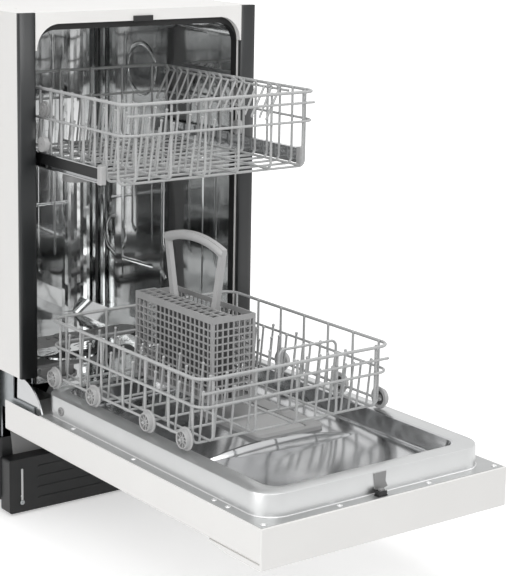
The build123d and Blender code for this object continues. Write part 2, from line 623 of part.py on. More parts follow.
# Handle pocket let into the outer face behind the fascia
POCKET_WALL = 2.0
with BuildPart() as handle_pocket:
    with Locations((0, POCKET_Y, PANEL_FACE)):
        Box(POCKET_SIZE[0] - 2 * JOIN, POCKET_SIZE[1] - 2 * JOIN, POCKET_SIZE[2],
            align=(Align.CENTER, Align.CENTER, Align.MIN))
    fillet(handle_pocket.faces().sort_by(Axis.Z)[-1].edges(), 8)
    offset(amount=-POCKET_WALL, openings=handle_pocket.faces().sort_by(Axis.Z)[0])
save(handle_pocket, "handle_pocket")

# Control fascia: covers the door's top end and carries the buttons on its outer face
FASCIA_FACE = PANEL_FACE - FASCIA_DROP
FASCIA_TOP = PANEL_FACE - JOIN
BUTTON_RADIUS = 7.0
BUTTON_GAP = 0.3
BUTTON_STROKE = 1.5
BUTTON_STEP = 30.0
BUTTON_COUNT = 3
BUTTON_X = [-150.0 + BUTTON_STEP * i for i in range(BUTTON_COUNT)]
BUTTON_Y = DOOR_FRONT + 34.0
WINDOW_SIZE = (90.0, 22.0)
with BuildPart() as control_fascia:
    with BuildSketch(Plane.YZ.offset(-DOOR_HALF)):
        with BuildLine():
            Polyline((DOOR_FRONT, RIM_HEIGHT), (DOOR_FRONT, FASCIA_FACE),
                     (DOOR_FRONT + FASCIA_LENGTH - FASCIA_SLOPE, FASCIA_FACE),
                     (DOOR_FRONT + FASCIA_LENGTH, FASCIA_TOP - 1), (DOOR_FRONT + FASCIA_LENGTH, FASCIA_TOP),
                     (DOOR_FRONT + FASCIA_WALL, FASCIA_TOP),
                     (DOOR_FRONT + FASCIA_WALL, RIM_HEIGHT), close=True)
        make_face()
    extrude(amount=DOOR_WIDTH)
    fillet(control_fascia.faces().sort_by(Axis.Y)[0].edges().filter_by(Axis.Z), 2.5)
    with Locations((0, 0, FASCIA_FACE)):
        with Locations([(x, BUTTON_Y, 0) for x in BUTTON_X]):
            Cylinder(BUTTON_RADIUS + BUTTON_GAP, 4 * FASCIA_DROP, mode=Mode.SUBTRACT)
        with Locations((60, BUTTON_Y, 0)):
            Box(*WINDOW_SIZE, 3, mode=Mode.SUBTRACT)
save(control_fascia, "control_fascia")

for number, x in enumerate(BUTTON_X, start=1):
    with BuildPart() as button:
        with Locations((x, BUTTON_Y, FASCIA_FACE - 1)):
            Cylinder(BUTTON_RADIUS, FASCIA_DROP - BUTTON_STROKE,
                     align=(Align.CENTER, Align.CENTER, Align.MIN))
        fillet(button.faces().sort_by(Axis.Z)[0].edges(), 0.8)
    save(button, f"button_{number}")

# Door inner liner: a pressed steel tray, raised round its border and recessed in the middle
LINER_LENGTH = LINER_TAIL - LINER_FRONT
LINER_MIDDLE = (LINER_TAIL + LINER_FRONT) / 2
LINER_SEAT = RIM_HEIGHT + JOIN
LINER_BED = TRACK_HEIGHT - LINER_RECESS


def pressed_tray(sink):
    """The liner's outside form, or with sink set, the hollow below its sheet."""
    with BuildPart() as tray:
        with BuildSketch(Plane.XY.offset(LINER_SEAT)):
            with Locations((0, LINER_MIDDLE)):
                RectangleRounded(2 * (LINER_HALF - sink), LINER_LENGTH - 2 * sink, LINER_RADIUS - sink)
        extrude(amount=TRACK_HEIGHT - LINER_SEAT - sink, taper=LINER_TAPER)
        fillet(tray.faces().sort_by(Axis.Z)[-1].edges(), 6 - sink)
        with BuildSketch(Plane.XY.offset(LINER_BED - sink)):
            with Locations((0, LINER_MIDDLE)):
                RectangleRounded(2 * (LINER_HALF - LINER_BORDER - 10 + sink),
                                 LINER_LENGTH - 2 * (LINER_BORDER + 10 - sink), LINER_RADIUS - 14 + sink)
        extrude(amount=LINER_RECESS + 4, taper=-18, mode=Mode.SUBTRACT)
    return tray.part


liner_hollow = pressed_tray(SHEET)
with BuildPart() as door_liner:
    add(pressed_tray(0))
    add(liner_hollow, mode=Mode.SUBTRACT)
save(door_liner, "door_liner")

# Hinge arms on the door: a quarter disc that shields the gap, bored for the pin
ARM_FOOT = PANEL_FACE + SHEET + JOIN
ARM_REACH = 110.0
with BuildPart() as hinge_arms:
    for side in (-1, 1):
        with BuildSketch(Plane.YZ.offset(side * (BRACKET_X - ARM_GAP))):
            with BuildLine():
                Polyline((HINGE_Y - 34, HINGE_Z - 2), (HINGE_Y - ARM_REACH, HINGE_Z - 24),
                         (HINGE_Y - ARM_REACH, ARM_FOOT), (HINGE_Y + 50, ARM_FOOT),
                         (HINGE_Y + 46, HINGE_Z + 50))
                ThreePointArc((HINGE_Y + 46, HINGE_Z + 50), (HINGE_Y - 8, HINGE_Z + 36),
                              (HINGE_Y - 34, HINGE_Z - 2))
            make_face()
            with Locations((HINGE_Y, HINGE_Z)):
                Circle(PIN_DIAMETER / 2 + PIN_CLEARANCE, mode=Mode.SUBTRACT)
        extrude(amount=-side * ARM_SHEET)
        edge = BRACKET_X - ARM_GAP
        wall = DOOR_HALF - SHEET - PAN_EDGE - JOIN
        low, high = sorted((side * edge, side * wall))
        block((low, HINGE_Y - ARM_REACH, ARM_FOOT), (high, HINGE_Y - 40, ARM_FOOT + ARM_SHEET))
save(hinge_arms, "hinge_arms")

# Detergent dispenser in the liner's recess: a moulded frame, a sliding lid and a rinse-aid cap
DISPENSER_MIDDLE = (40.0, FRONT - 275.0)
DISPENSER_SIZE = (124.0, 174.0)
DISPENSER_HEIGHT = 7.0
LID_SIZE = (90.0, 98.0)
LID_THICKNESS = 3.0
LID_TRAVEL = 55.0
LID_GAP = 0.4
LID_X = DISPENSER_MIDDLE[0] - 12.0
POCKET_DEEP = 4.0
RINSE_RADIUS = 10.0
RINSE_X = DISPENSER_MIDDLE[0] + 49.0
DISPENSER_SEAT = LINER_BED + JOIN
DISPENSER_TOP = DISPENSER_SEAT + DISPENSER_HEIGHT
with BuildPart() as dispenser_body:
    with BuildSketch(Plane.XY.offset(DISPENSER_SEAT)):
        with Locations(DISPENSER_MIDDLE):
            RectangleRounded(*DISPENSER_SIZE, 14)
    extrude(amount=DISPENSER_HEIGHT)
    chamfer(dispenser_body.faces().sort_by(Axis.Z)[-1].edges(), 1.5)
    with Locations((LID_X, DISPENSER_MIDDLE[1], DISPENSER_TOP)):
        Box(LID_SIZE[0] + 2 * LID_GAP, LID_SIZE[1] + LID_TRAVEL + 2 * LID_GAP, 2 * POCKET_DEEP,
            mode=Mode.SUBTRACT)
    with Locations((RINSE_X, DISPENSER_MIDDLE[1], DISPENSER_TOP)):
        Cylinder(RINSE_RADIUS + LID_GAP, 2 * POCKET_DEEP, mode=Mode.SUBTRACT)
save(dispenser_body, "dispenser_body")

with BuildPart() as dispenser_lid:
    with BuildSketch(Plane.XY.offset(DISPENSER_TOP - POCKET_DEEP + LID_GAP)):
        with Locations((LID_X, DISPENSER_MIDDLE[1] - LID_TRAVEL / 2)):
            RectangleRounded(*LID_SIZE, 8)
    extrude(amount=LID_THICKNESS)
    fillet(dispenser_lid.faces().sort_by(Axis.Z)[-1].edges(), 1)
save(dispenser_lid, "dispenser_lid")

with BuildPart() as rinse_cap:
    with Locations((RINSE_X, DISPENSER_MIDDLE[1], DISPENSER_TOP - POCKET_DEEP + LID_GAP)):
        Cylinder(RINSE_RADIUS, POCKET_DEEP, align=(Align.CENTER, Align.CENTER, Align.MIN))
        Box(2 * RINSE_RADIUS - 4, 3, POCKET_DEEP + 3, align=(Align.CENTER, Align.CENTER, Align.MIN))
save(rinse_cap, "rinse_cap")

# Door latch on the front rim, with a spring tongue
LATCH_SIZE = (32.0, 34.0, 11.0)
LATCH_Y = (DOOR_FRONT + LINER_FRONT) / 2
TONGUE_SIZE = (12.0, 20.0)
TONGUE_STROKE = 5.0
TONGUE_GAP = 0.4
LATCH_SEAT = RIM_HEIGHT + JOIN
with BuildPart() as door_latch:
    with Locations((0, LATCH_Y, LATCH_SEAT)):
        Box(*LATCH_SIZE, align=(Align.CENTER, Align.CENTER, Align.MIN))
    chamfer(door_latch.faces().sort_by(Axis.Z)[-1].edges(), 1.5)
    with Locations((0, LATCH_Y, LATCH_SEAT + 1)):
        Box(TONGUE_SIZE[0] + 2 * TONGUE_GAP, TONGUE_SIZE[1] + 2 * TONGUE_GAP, LATCH_SIZE[2],
            align=(Align.CENTER, Align.CENTER, Align.MIN), mode=Mode.SUBTRACT)
save(door_latch, "door_latch")

with BuildPart() as latch_tongue:
    with BuildSketch(Plane.YZ.offset(-TONGUE_SIZE[0] / 2)):
        with BuildLine():
            Polyline((LATCH_Y - TONGUE_SIZE[1] / 2, LATCH_SEAT + TONGUE_STROKE + 1.4),
                     (LATCH_Y + TONGUE_SIZE[1] / 2, LATCH_SEAT + TONGUE_STROKE + 1.4),
                     (LATCH_Y + TONGUE_SIZE[1] / 2, LATCH_SEAT + LATCH_SIZE[2] + 1),
                     (LATCH_Y - TONGUE_SIZE[1] / 2, LATCH_SEAT + LATCH_SIZE[2] + 7), close=True)
        make_face()
    extrude(amount=TONGUE_SIZE[0])
save(latch_tongue, "latch_tongue")

# Lower rack: cross hoops with tines, runners that turn up at front and back, and welded rails
RACK_INSET = 19.0
LOWER_PLACES = spread(LOWER_FRONT + RACK_INSET, LOWER_BACK - RACK_INSET, LOWER_HOOPS)
hoop_rise = LOWER_TOP + RAIL_WIRE / 2 - LOWER_FLOOR
TINE_X = (-135.0, -105.0, 50.0, 100.0, 130.0)
TINE_HEIGHT = 74.0
TINE_LEAN = 9.0
with BuildPart() as lower_rack_hoops:
    for y in LOWER_PLACES:
        bent_u((-LOWER_HALF, y, LOWER_FLOOR), (LOWER_HALF, y, LOWER_FLOOR), hoop_rise)
save(lower_rack_hoops, "lower_rack_hoops")

with BuildPart() as lower_rack_tines:
    foot = LOWER_FLOOR + WIRE / 2 + 2 * WELD
    for y in LOWER_PLACES:
        for x in TINE_X:
            rod((x, y, foot), (x, y - TINE_LEAN, foot + TINE_HEIGHT), WIRE - 0.5)
save(lower_rack_tines, "lower_rack_tines")

RUNNER_Z = LOWER_FLOOR + WIRE + WELD
RUNNER_HALF = 150.0
HOLDER_X = (28.0, 138.0)
HOLDER_TOP = 336.0
with BuildPart() as lower_rack_runners:
    for x in spread(-RUNNER_HALF, RUNNER_HALF, LOWER_RUNNERS):
        bent_u((x, LOWER_FRONT, RUNNER_Z), (x, LOWER_BACK, RUNNER_Z), hoop_rise - WIRE - WELD)
    holder_ends = [(x, LOWER_PLACES[1], HOLDER_TOP) for x in HOLDER_X]
    bent_u(*holder_ends, HOLDER_TOP - LOWER_FLOOR - WIRE / 2 - 2 * WELD, up=Vector(0, 0, -1))
save(lower_rack_runners, "lower_rack_runners")

with BuildPart() as lower_rack_rails:
    thick = (WIRE + RAIL_WIRE) / 2 + WELD
    thin = WIRE + WELD
    rail_loop(LOWER_HALF + thick, LOWER_FRONT - thick, LOWER_BACK + thick, LOWER_TOP, RAIL_WIRE)
    rail_loop(LOWER_HALF + thin, LOWER_FRONT - thin, LOWER_BACK + thin, LOWER_TOP - 2 * LOWER_RAIL_STEP, WIRE)
    rod((-LOWER_HALF, LOWER_FRONT - thin, LOWER_TOP - LOWER_RAIL_STEP),
        (LOWER_HALF, LOWER_FRONT - thin, LOWER_TOP - LOWER_RAIL_STEP))
    for side in (-1, 1):
        rod((side * (LOWER_HALF + thin), LOWER_FRONT + RACK_INSET - WIRE, WHEEL_Z),
            (side * (LOWER_HALF + thin), LOWER_BACK - RACK_INSET + WIRE, WHEEL_Z))
save(lower_rack_rails, "lower_rack_rails")

# Wheels of the lower rack, in pairs that share an axis, on stub axles
AXLE_START = LOWER_HALF + WIRE + WELD + WIRE / 2 + WELD
SPOKE_GAPS = 5
with BuildPart() as wheel_axles:
    for side in (-1, 1):
        for place in WHEEL_PLACES:
            rod((side * AXLE_START, FRONT + place, WHEEL_Z),
                (side * (WHEEL_OUT + WHEEL_WIDTH / 2 + 2), FRONT + place, WHEEL_Z), WHEEL_AXLE)
save(wheel_axles, "wheel_axles")

for number, place in enumerate(WHEEL_PLACES, start=1):
    with BuildPart() as wheel_pair:
        for side in (-1, 1):
            with Locations(Plane(origin=(side * WHEEL_OUT, FRONT + place, WHEEL_Z), z_dir=(1, 0, 0))):
                Cylinder(WHEEL_DIAMETER / 2, WHEEL_WIDTH)
                Cylinder(WHEEL_AXLE / 2 + ROLL_CLEARANCE, 2 * WHEEL_WIDTH, mode=Mode.SUBTRACT)
                with PolarLocations(WHEEL_DIAMETER / 3.4, SPOKE_GAPS):
                    Cylinder(WHEEL_DIAMETER / 9, 2 * WHEEL_WIDTH, mode=Mode.SUBTRACT)
    save(wheel_pair, f"wheel_pair_{number}")

# Cutlery basket: latticed walls round a floor and a middle wall, a slotted cover and a handle
BASKET_BOTTOM = RUNNER_Z + WIRE / 2 + ROLL_CLEARANCE
BASKET_MIDDLE = ((BASKET_X[0] + BASKET_X[1]) / 2, (BASKET_Y[0] + BASKET_Y[1]) / 2)
BASKET_SIZE = (BASKET_X[1] - BASKET_X[0], BASKET_Y[1] - BASKET_Y[0])
BASKET_HEIGHT = BASKET_TOP - BASKET_BOTTOM
LATTICE = 11.0
LATTICE_BAR = 2.6
COVER_THICKNESS = 2.5
RIM_BAND = 12.0


def lattice_gaps(length, height):
    """A grid of square gaps that leaves a plain band all round."""
    across = int((length - RIM_BAND) / LATTICE)
    up = int((height - 2 * RIM_BAND) / LATTICE)
    with GridLocations(LATTICE, LATTICE, across, up):
        Rectangle(LATTICE - LATTICE_BAR, LATTICE - LATTICE_BAR, mode=Mode.SUBTRACT)


with BuildPart() as cutlery_basket:
    wall_height = BASKET_HEIGHT - COVER_THICKNESS - JOIN
    wall_z = BASKET_BOTTOM + BASKET_WALL + JOIN + (wall_height - BASKET_WALL - JOIN) / 2
    long_wall = BASKET_SIZE[1]
    short_wall = BASKET_SIZE[0] - 2 * BASKET_WALL - 2 * JOIN
    with Locations((*BASKET_MIDDLE, BASKET_BOTTOM)):
        Box(*BASKET_SIZE, BASKET_WALL, align=(Align.CENTER, Align.CENTER, Align.MIN))
    for side in (-1, 1):
        with BuildSketch(Plane.YZ.offset(BASKET_MIDDLE[0] + side * BASKET_SIZE[0] / 2)):
            with Locations((BASKET_MIDDLE[1], wall_z)):
                Rectangle(long_wall, wall_height - BASKET_WALL - JOIN)
                lattice_gaps(long_wall, wall_height)
        extrude(amount=-side * BASKET_WALL)
        with BuildSketch(Plane.XZ.offset(-BASKET_MIDDLE[1] - side * BASKET_SIZE[1] / 2)):
            with Locations((BASKET_MIDDLE[0], wall_z)):
                Rectangle(short_wall, wall_height - BASKET_WALL - JOIN)
                lattice_gaps(short_wall, wall_height)
        extrude(amount=side * BASKET_WALL)
    with Locations((*BASKET_MIDDLE, BASKET_BOTTOM + BASKET_WALL + JOIN)):
        Box(BASKET_WALL, long_wall - 2 * BASKET_WALL - 2 * JOIN, wall_height - BASKET_WALL - JOIN,
            align=(Align.CENTER, Align.CENTER, Align.MIN))
save(cutlery_basket, "cutlery_basket")

# Slotted cover over the left half of the basket
COVER_SLOTS = (2, 12)
HANDLE_SIZE = (8.0, 12.0)
with BuildPart() as basket_cover:
    cover_width = BASKET_SIZE[0] / 2 - HANDLE_SIZE[0] / 2 - ROLL_CLEARANCE
    with BuildSketch(Plane.XY.offset(BASKET_TOP - COVER_THICKNESS)):
        with Locations((BASKET_X[0] + cover_width / 2, BASKET_MIDDLE[1])):
            RectangleRounded(cover_width, BASKET_SIZE[1], 4)
            with GridLocations(cover_width / 2.2, (BASKET_SIZE[1] - 10) / COVER_SLOTS[1], *COVER_SLOTS):
                SlotOverall(13, 6, mode=Mode.SUBTRACT)
    extrude(amount=COVER_THICKNESS)
save(basket_cover, "basket_cover")

# Handle of the basket: two legs that stand on the middle wall and a bowed grip
HANDLE_LEGS = (BASKET_MIDDLE[1] - 62.0, BASKET_MIDDLE[1] + 62.0)
HANDLE_TOP = 480.0
HANDLE_CROWN = 14.0
HANDLE_SPLAY = 18.0
with BuildPart() as basket_handle:
    handle_foot = BASKET_TOP - COVER_THICKNESS
    with BuildSketch(Plane.YZ.offset(BASKET_MIDDLE[0] - HANDLE_SIZE[0] / 2)):
        with BuildLine():
            near, far = HANDLE_LEGS
            deep = HANDLE_SIZE[1]
            peak = (near + far) / 2
            Line((near, handle_foot), (near - HANDLE_SPLAY, HANDLE_TOP))
            ThreePointArc((near - HANDLE_SPLAY, HANDLE_TOP), (peak, HANDLE_TOP + HANDLE_CROWN),
                          (far + HANDLE_SPLAY, HANDLE_TOP))
            Line((far + HANDLE_SPLAY, HANDLE_TOP), (far, handle_foot))
            Line((far, handle_foot), (far - deep, handle_foot))
            Line((far - deep, handle_foot), (far + HANDLE_SPLAY - deep, HANDLE_TOP - deep))
            ThreePointArc((far + HANDLE_SPLAY - deep, HANDLE_TOP - deep),
                          (peak, HANDLE_TOP + HANDLE_CROWN - deep),
                          (near - HANDLE_SPLAY + deep, HANDLE_TOP - deep))
            Line((near - HANDLE_SPLAY + deep, HANDLE_TOP - deep), (near + deep, handle_foot))
            Line((near + deep, handle_foot), (near, handle_foot))
        make_face()
    extrude(amount=HANDLE_SIZE[0])
save(basket_handle, "basket_handle")

# Upper rack: hoops with tines, runners and rails like the lower rack's
upper_rise = UPPER_TOP + RAIL_WIRE / 2 - UPPER_FLOOR
UPPER_PLACES = spread(UPPER_FRONT + RACK_INSET, UPPER_BACK - RACK_INSET, UPPER_HOOPS)
UPPER_TINE_X = (-120.0, -45.0)
UPPER_TINE_HEIGHT = 62.0
with BuildPart() as upper_rack_hoops:
    for y in UPPER_PLACES:
        bent_u((-UPPER_HALF, y, UPPER_FLOOR), (UPPER_HALF, y, UPPER_FLOOR), upper_rise)
save(upper_rack_hoops, "upper_rack_hoops")

UPPER_RUNNER_Z = UPPER_FLOOR + WIRE + WELD
UPPER_RUNNER_HALF = 155.0
with BuildPart() as upper_rack_runners:
    for x in spread(-UPPER_RUNNER_HALF, UPPER_RUNNER_HALF, UPPER_RUNNERS):
        bent_u((x, UPPER_FRONT, UPPER_RUNNER_Z), (x, UPPER_BACK, UPPER_RUNNER_Z), upper_rise - WIRE - WELD)
    foot = UPPER_FLOOR + WIRE / 2 + 2 * WELD
    for y in UPPER_PLACES:
        for x in UPPER_TINE_X:
            rod((x, y, foot + ROLL_CLEARANCE), (x + TINE_LEAN, y, foot + UPPER_TINE_HEIGHT), WIRE - 0.5)
save(upper_rack_runners, "upper_rack_runners")

# Cup shelf: a bar inside the rack's right uprights, with a row of wires that lean into the rack
SHELF_X = UPPER_HALF - WIRE - ROLL_CLEARANCE
SHELF_Z = UPPER_TOP - 5.0
SHELF_LEAN = Vector(-24, 0, -46).normalized()
SHELF_SIDE = Vector(-46, 0, 24).normalized() * (WIRE + WELD)
SHELF_LENGTH = 54.0
SHELF_WIRES = 9
with BuildPart() as cup_shelf:
    shelf_front = UPPER_FRONT + 3 * RACK_INSET
    shelf_back = UPPER_BACK - RACK_INSET
    rod((SHELF_X, shelf_front, SHELF_Z), (SHELF_X, shelf_back, SHELF_Z))
    for y in spread(shelf_front + RACK_INSET, shelf_back - RACK_INSET, SHELF_WIRES):
        head = Vector(SHELF_X, y, SHELF_Z) + SHELF_SIDE
        rod(tuple(head), tuple(head + SHELF_LEAN * SHELF_LENGTH))
save(cup_shelf, "cup_shelf")

# Slide rails of the upper rack: open channels with an end cap, carried by rollers on the tub wall
CHANNEL_X = (OPENING_HALF - 11.5, OPENING_HALF - 2.0)
CHANNEL_Z = (UPPER_FLOOR, UPPER_FLOOR + 24.0)
CHANNEL_SHEET = 1.5
CHANNEL_FRONT = FRONT - 173.0
CHANNEL_LENGTH = 423.0
CAP_LENGTH = 10.0
with BuildPart() as slide_rails:
    for side in (-1, 1):
        with BuildSketch(Plane.XZ.offset(-CHANNEL_FRONT)):
            web, lip = CHANNEL_X
            low, high = CHANNEL_Z
            with BuildLine():
                Polyline((side * web, low), (side * lip, low), (side * lip, low + CHANNEL_SHEET),
                         (side * (web + CHANNEL_SHEET), low + CHANNEL_SHEET),
                         (side * (web + CHANNEL_SHEET), high - CHANNEL_SHEET),
                         (side * lip, high - CHANNEL_SHEET),
                         (side * lip, high), (side * web, high), close=True)
            make_face()
        extrude(amount=-CHANNEL_LENGTH)
save(slide_rails, "slide_rails")

with BuildPart() as rail_caps:
    for side in (-1, 1):
        middle_x = side * (CHANNEL_X[0] + CHANNEL_X[1]) / 2
        middle_z = (CHANNEL_Z[0] + CHANNEL_Z[1]) / 2
        with Locations((middle_x, CHANNEL_FRONT - JOIN, middle_z)):
            Box(CHANNEL_X[1] - CHANNEL_X[0], CAP_LENGTH, CHANNEL_Z[1] - CHANNEL_Z[0] + 4,
                align=(Align.CENTER, Align.MAX, Align.CENTER))
    fillet(rail_caps.faces().sort_by(Axis.Y)[:2].edges(), 2)
save(rail_caps, "rail_caps")

# Rollers of the upper rack, one on top of each channel
RACK_ROLLER_RADIUS = 12.0
RACK_ROLLER_Y = UPPER_PLACES[6]
RACK_ROLLER_Z = CHANNEL_Z[1] + ROLL_CLEARANCE + RACK_ROLLER_RADIUS
ROLLER_X = (CHANNEL_X[0] + 1.0, CHANNEL_X[1] - 0.5)
STUB_RADIUS = 2.5
with BuildPart() as rack_rollers:
    for side in (-1, 1):
        rod((side * ROLLER_X[0], RACK_ROLLER_Y, RACK_ROLLER_Z),
            (side * ROLLER_X[1], RACK_ROLLER_Y, RACK_ROLLER_Z),
            2 * RACK_ROLLER_RADIUS)
        with Locations(Plane(origin=(side * ROLLER_X[0], RACK_ROLLER_Y, RACK_ROLLER_Z), z_dir=(1, 0, 0))):
            Cylinder(STUB_RADIUS + ROLL_CLEARANCE, 60, mode=Mode.SUBTRACT)
save(rack_rollers, "rack_rollers")

# Rails of the upper rack, with the stub axles of its rollers
UPPER_SECOND = 17.0
UPPER_THIRD = 46.0
with BuildPart() as upper_rack_rails:
    rail_loop(UPPER_HALF + thick, UPPER_FRONT - thick, UPPER_BACK + thick, UPPER_TOP, RAIL_WIRE)
    rail_loop(UPPER_HALF + thin, UPPER_FRONT - thin, UPPER_BACK + thin, UPPER_TOP - UPPER_THIRD, WIRE)
    rod((-UPPER_HALF, UPPER_FRONT - thin, UPPER_TOP - UPPER_SECOND),
        (UPPER_HALF, UPPER_FRONT - thin, UPPER_TOP - UPPER_SECOND))
    for side in (-1, 1):
        rod((side * (UPPER_HALF + WIRE / 2 + WELD), RACK_ROLLER_Y, RACK_ROLLER_Z),
            (side * (ROLLER_X[1] - 1), RACK_ROLLER_Y, RACK_ROLLER_Z), 2 * STUB_RADIUS)
save(upper_rack_rails, "upper_rack_rails")

# Round guides on the tub wall, inside the channels
GUIDE_RADIUS = 9.0
GUIDE_PLACES = (44.0, 120.0)
GUIDE_Z = CHANNEL_Z[0] + CHANNEL_SHEET + (CHANNEL_Z[1] - CHANNEL_Z[0] - 2 * CHANNEL_SHEET) / 2
with BuildPart() as rail_guides:
    for side in (-1, 1):
        for place in GUIDE_PLACES:
            rod((side * (CHANNEL_X[0] + 3), FRONT + place, GUIDE_Z),
                (side * (CHANNEL_X[1] - 1), FRONT + place, GUIDE_Z), 2 * GUIDE_RADIUS)
            rod((side * (CHANNEL_X[1] - 2), FRONT + place, GUIDE_Z),
                (side * (TUB_HALF - JOIN), FRONT + place, GUIDE_Z), 2 * STUB_RADIUS)
save(rail_guides, "rail_guides")

# Upper spray arm under the upper rack, on a post of the rack's feed tube
UPPER_ARM_LENGTH = 300.0
TUBE_TOP = UPPER_FLOOR - WIRE / 2 - WELD
TUBE_HEIGHT = 12.0
TUBE_WIDTH = 24.0
UPPER_ARM_PLACE = (0.0, (UPPER_FRONT + UPPER_BACK) / 2)
UPPER_ARM_Z = TUBE_TOP - TUBE_HEIGHT - 1 - ARM_THICKNESS
with BuildPart() as upper_feed_tube:
    block((-TUBE_WIDTH / 2, UPPER_ARM_PLACE[1] - TUBE_WIDTH / 2, TUBE_TOP - TUBE_HEIGHT),
          (TUBE_WIDTH / 2, UPPER_BACK, TUBE_TOP))
    with Locations((*UPPER_ARM_PLACE, TUBE_TOP - TUBE_HEIGHT)):
        Cylinder(POST_RADIUS, ARM_THICKNESS + 4, align=(Align.CENTER, Align.CENTER, Align.MAX))
save(upper_feed_tube, "upper_feed_tube")

with BuildPart() as upper_spray_arm:
    arm_body(UPPER_ARM_PLACE, UPPER_ARM_Z, UPPER_ARM_LENGTH, POST_RADIUS + BEARING_GAP)
save(upper_spray_arm, "upper_spray_arm")
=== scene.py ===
# %% [markdown]
# A slim dishwasher, dressed for a studio picture.
# The solids come in as fixed pieces that already stand in the right place.
# This lesson gives each of them the finish of the real material, adds the small pieces that
# the solids leave out, and sets a camera and lights around the machine.

# %% Load the solids
import math

import bmesh
import bpy
from mathutils import Matrix, Vector


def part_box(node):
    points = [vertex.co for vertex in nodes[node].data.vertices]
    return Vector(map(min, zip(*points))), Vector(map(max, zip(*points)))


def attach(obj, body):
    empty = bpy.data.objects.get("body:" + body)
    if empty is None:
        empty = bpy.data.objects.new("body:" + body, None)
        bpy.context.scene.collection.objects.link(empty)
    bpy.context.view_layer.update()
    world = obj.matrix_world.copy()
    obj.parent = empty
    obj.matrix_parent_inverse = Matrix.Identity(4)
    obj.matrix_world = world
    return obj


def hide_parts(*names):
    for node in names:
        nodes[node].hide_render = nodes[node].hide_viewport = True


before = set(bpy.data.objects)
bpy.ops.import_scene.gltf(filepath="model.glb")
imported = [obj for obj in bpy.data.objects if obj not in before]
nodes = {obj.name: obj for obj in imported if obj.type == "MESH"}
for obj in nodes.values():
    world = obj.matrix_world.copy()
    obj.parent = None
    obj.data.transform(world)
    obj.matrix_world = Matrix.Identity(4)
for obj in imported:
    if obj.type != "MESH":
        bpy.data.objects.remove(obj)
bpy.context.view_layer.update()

# %% [markdown]
# Colours are easier to read as the hex values of a paint chart.
# Blender mixes light in linear values, so one function turns a hex value to linear.
# A second small function adds a node, sets its values and links its inputs, and every
# finish below is built from it.

# %% Colour and node helpers
MM = 0.001


def linear(hex_value):
    channels = [int(hex_value[i:i + 2], 16) / 255 for i in (1, 3, 5)]
    return (*[c / 12.92 if c <= 0.04045 else ((c + 0.055) / 1.055) ** 2.4 for c in channels], 1.0)


def add_node(tree, kind, settings=None, inputs=None):
    node = tree.nodes.new(kind)
    for name, value in (settings or {}).items():
        setattr(node, name, value)
    for socket, value in (inputs or {}).items():
        if isinstance(value, bpy.types.NodeSocket):
            tree.links.new(value, node.inputs[socket])
        else:
            node.inputs[socket].default_value = value
    return node


def finish_named(name):
    material = bpy.data.materials.new(name)
    material.use_nodes = True
    tree = material.node_tree
    shader = tree.nodes["Principled BSDF"]
    place = add_node(tree, "ShaderNodeTexCoord").outputs["Object"]
    return material, tree, shader, place


def scale_for(size_mm):
    return 1.0 / (size_mm * MM)


print("white enamel in linear values:", [round(c, 3) for c in linear("#EDEDEA")])

# %% [markdown]
# Every finish varies a little: a noise moves the colour between two close tones, a second
# noise moves the roughness, and a fine bump stands for the grain of a mould or of a coat
# of paint. One function holds that pattern, and the sizes are given in millimetres.

# %% A varied finish
GRAIN_STRENGTH = 0.6


def varied(name, dark, light, rough, patch_mm, grain_mm, depth_mm, metallic=0.0, stretch=(1, 1, 1)):
    material, tree, shader, place = finish_named(name)
    patches = add_node(tree, "ShaderNodeTexNoise", None,
                       {"Vector": place, "Scale": scale_for(patch_mm), "Detail": 3.0})
    tone = add_node(tree, "ShaderNodeMix", {"data_type": "RGBA"},
                    {"Factor": patches.outputs["Fac"], "A": linear(dark), "B": linear(light)})
    tree.links.new(tone.outputs["Result"], shader.inputs["Base Color"])
    stretched = add_node(tree, "ShaderNodeMapping", None, {"Vector": place, "Scale": stretch})
    grain = add_node(tree, "ShaderNodeTexNoise", None,
                     {"Vector": stretched.outputs["Vector"], "Scale": scale_for(grain_mm),
                      "Detail": 2.0})
    wear = add_node(tree, "ShaderNodeMapRange", None,
                    {"Value": grain.outputs["Fac"], "To Min": rough[0], "To Max": rough[1]})
    tree.links.new(wear.outputs["Result"], shader.inputs["Roughness"])
    bump = add_node(tree, "ShaderNodeBump", None,
                    {"Height": grain.outputs["Fac"], "Distance": depth_mm * MM,
                     "Strength": GRAIN_STRENGTH})
    tree.links.new(bump.outputs["Normal"], shader.inputs["Normal"])
    shader.inputs["Metallic"].default_value = metallic
    return material


# %% [markdown]
# The sheets. White stove enamel is glassy with a faint orange peel. Stainless steel is rolled,
# then pressed and polished. The tub is the brightest and mirrors the room, the bed of the
# liner is a little softer, and the flange and the wall of the liner are satin. Galvanised
# sheet shows a dull crystal pattern.

# %% Sheet metal finishes
BRUSHED = {"patch_mm": 60, "grain_mm": 1.6, "depth_mm": 0.006, "metallic": 1.0}
white_enamel = varied("white_stove_enamel", "#E6E5E3", "#ECEBE9", (0.40, 0.48),
                      patch_mm=90, grain_mm=2.5, depth_mm=0.02)
polished_steel = varied("polished_stainless_liner", "#BFC0C1", "#CDCECF", (0.10, 0.18),
                        stretch=(1, 0.03, 1), **BRUSHED)
tub_steel = varied("bright_stainless_tub", "#D2D3D3", "#E2E3E3", (0.04, 0.09), patch_mm=80,
                   grain_mm=1.8, depth_mm=0.004, metallic=1.0, stretch=(1, 1, 0.04))
flange_steel = varied("satin_steel_flange", "#B2B3B3", "#BFC0C0", (0.36, 0.46),
                      stretch=(0.1, 1, 1), **BRUSHED)
satin_steel = varied("satin_steel_wall", "#C6C7C7", "#D2D3D3", (0.30, 0.40),
                     stretch=(0.1, 1, 1), **BRUSHED)
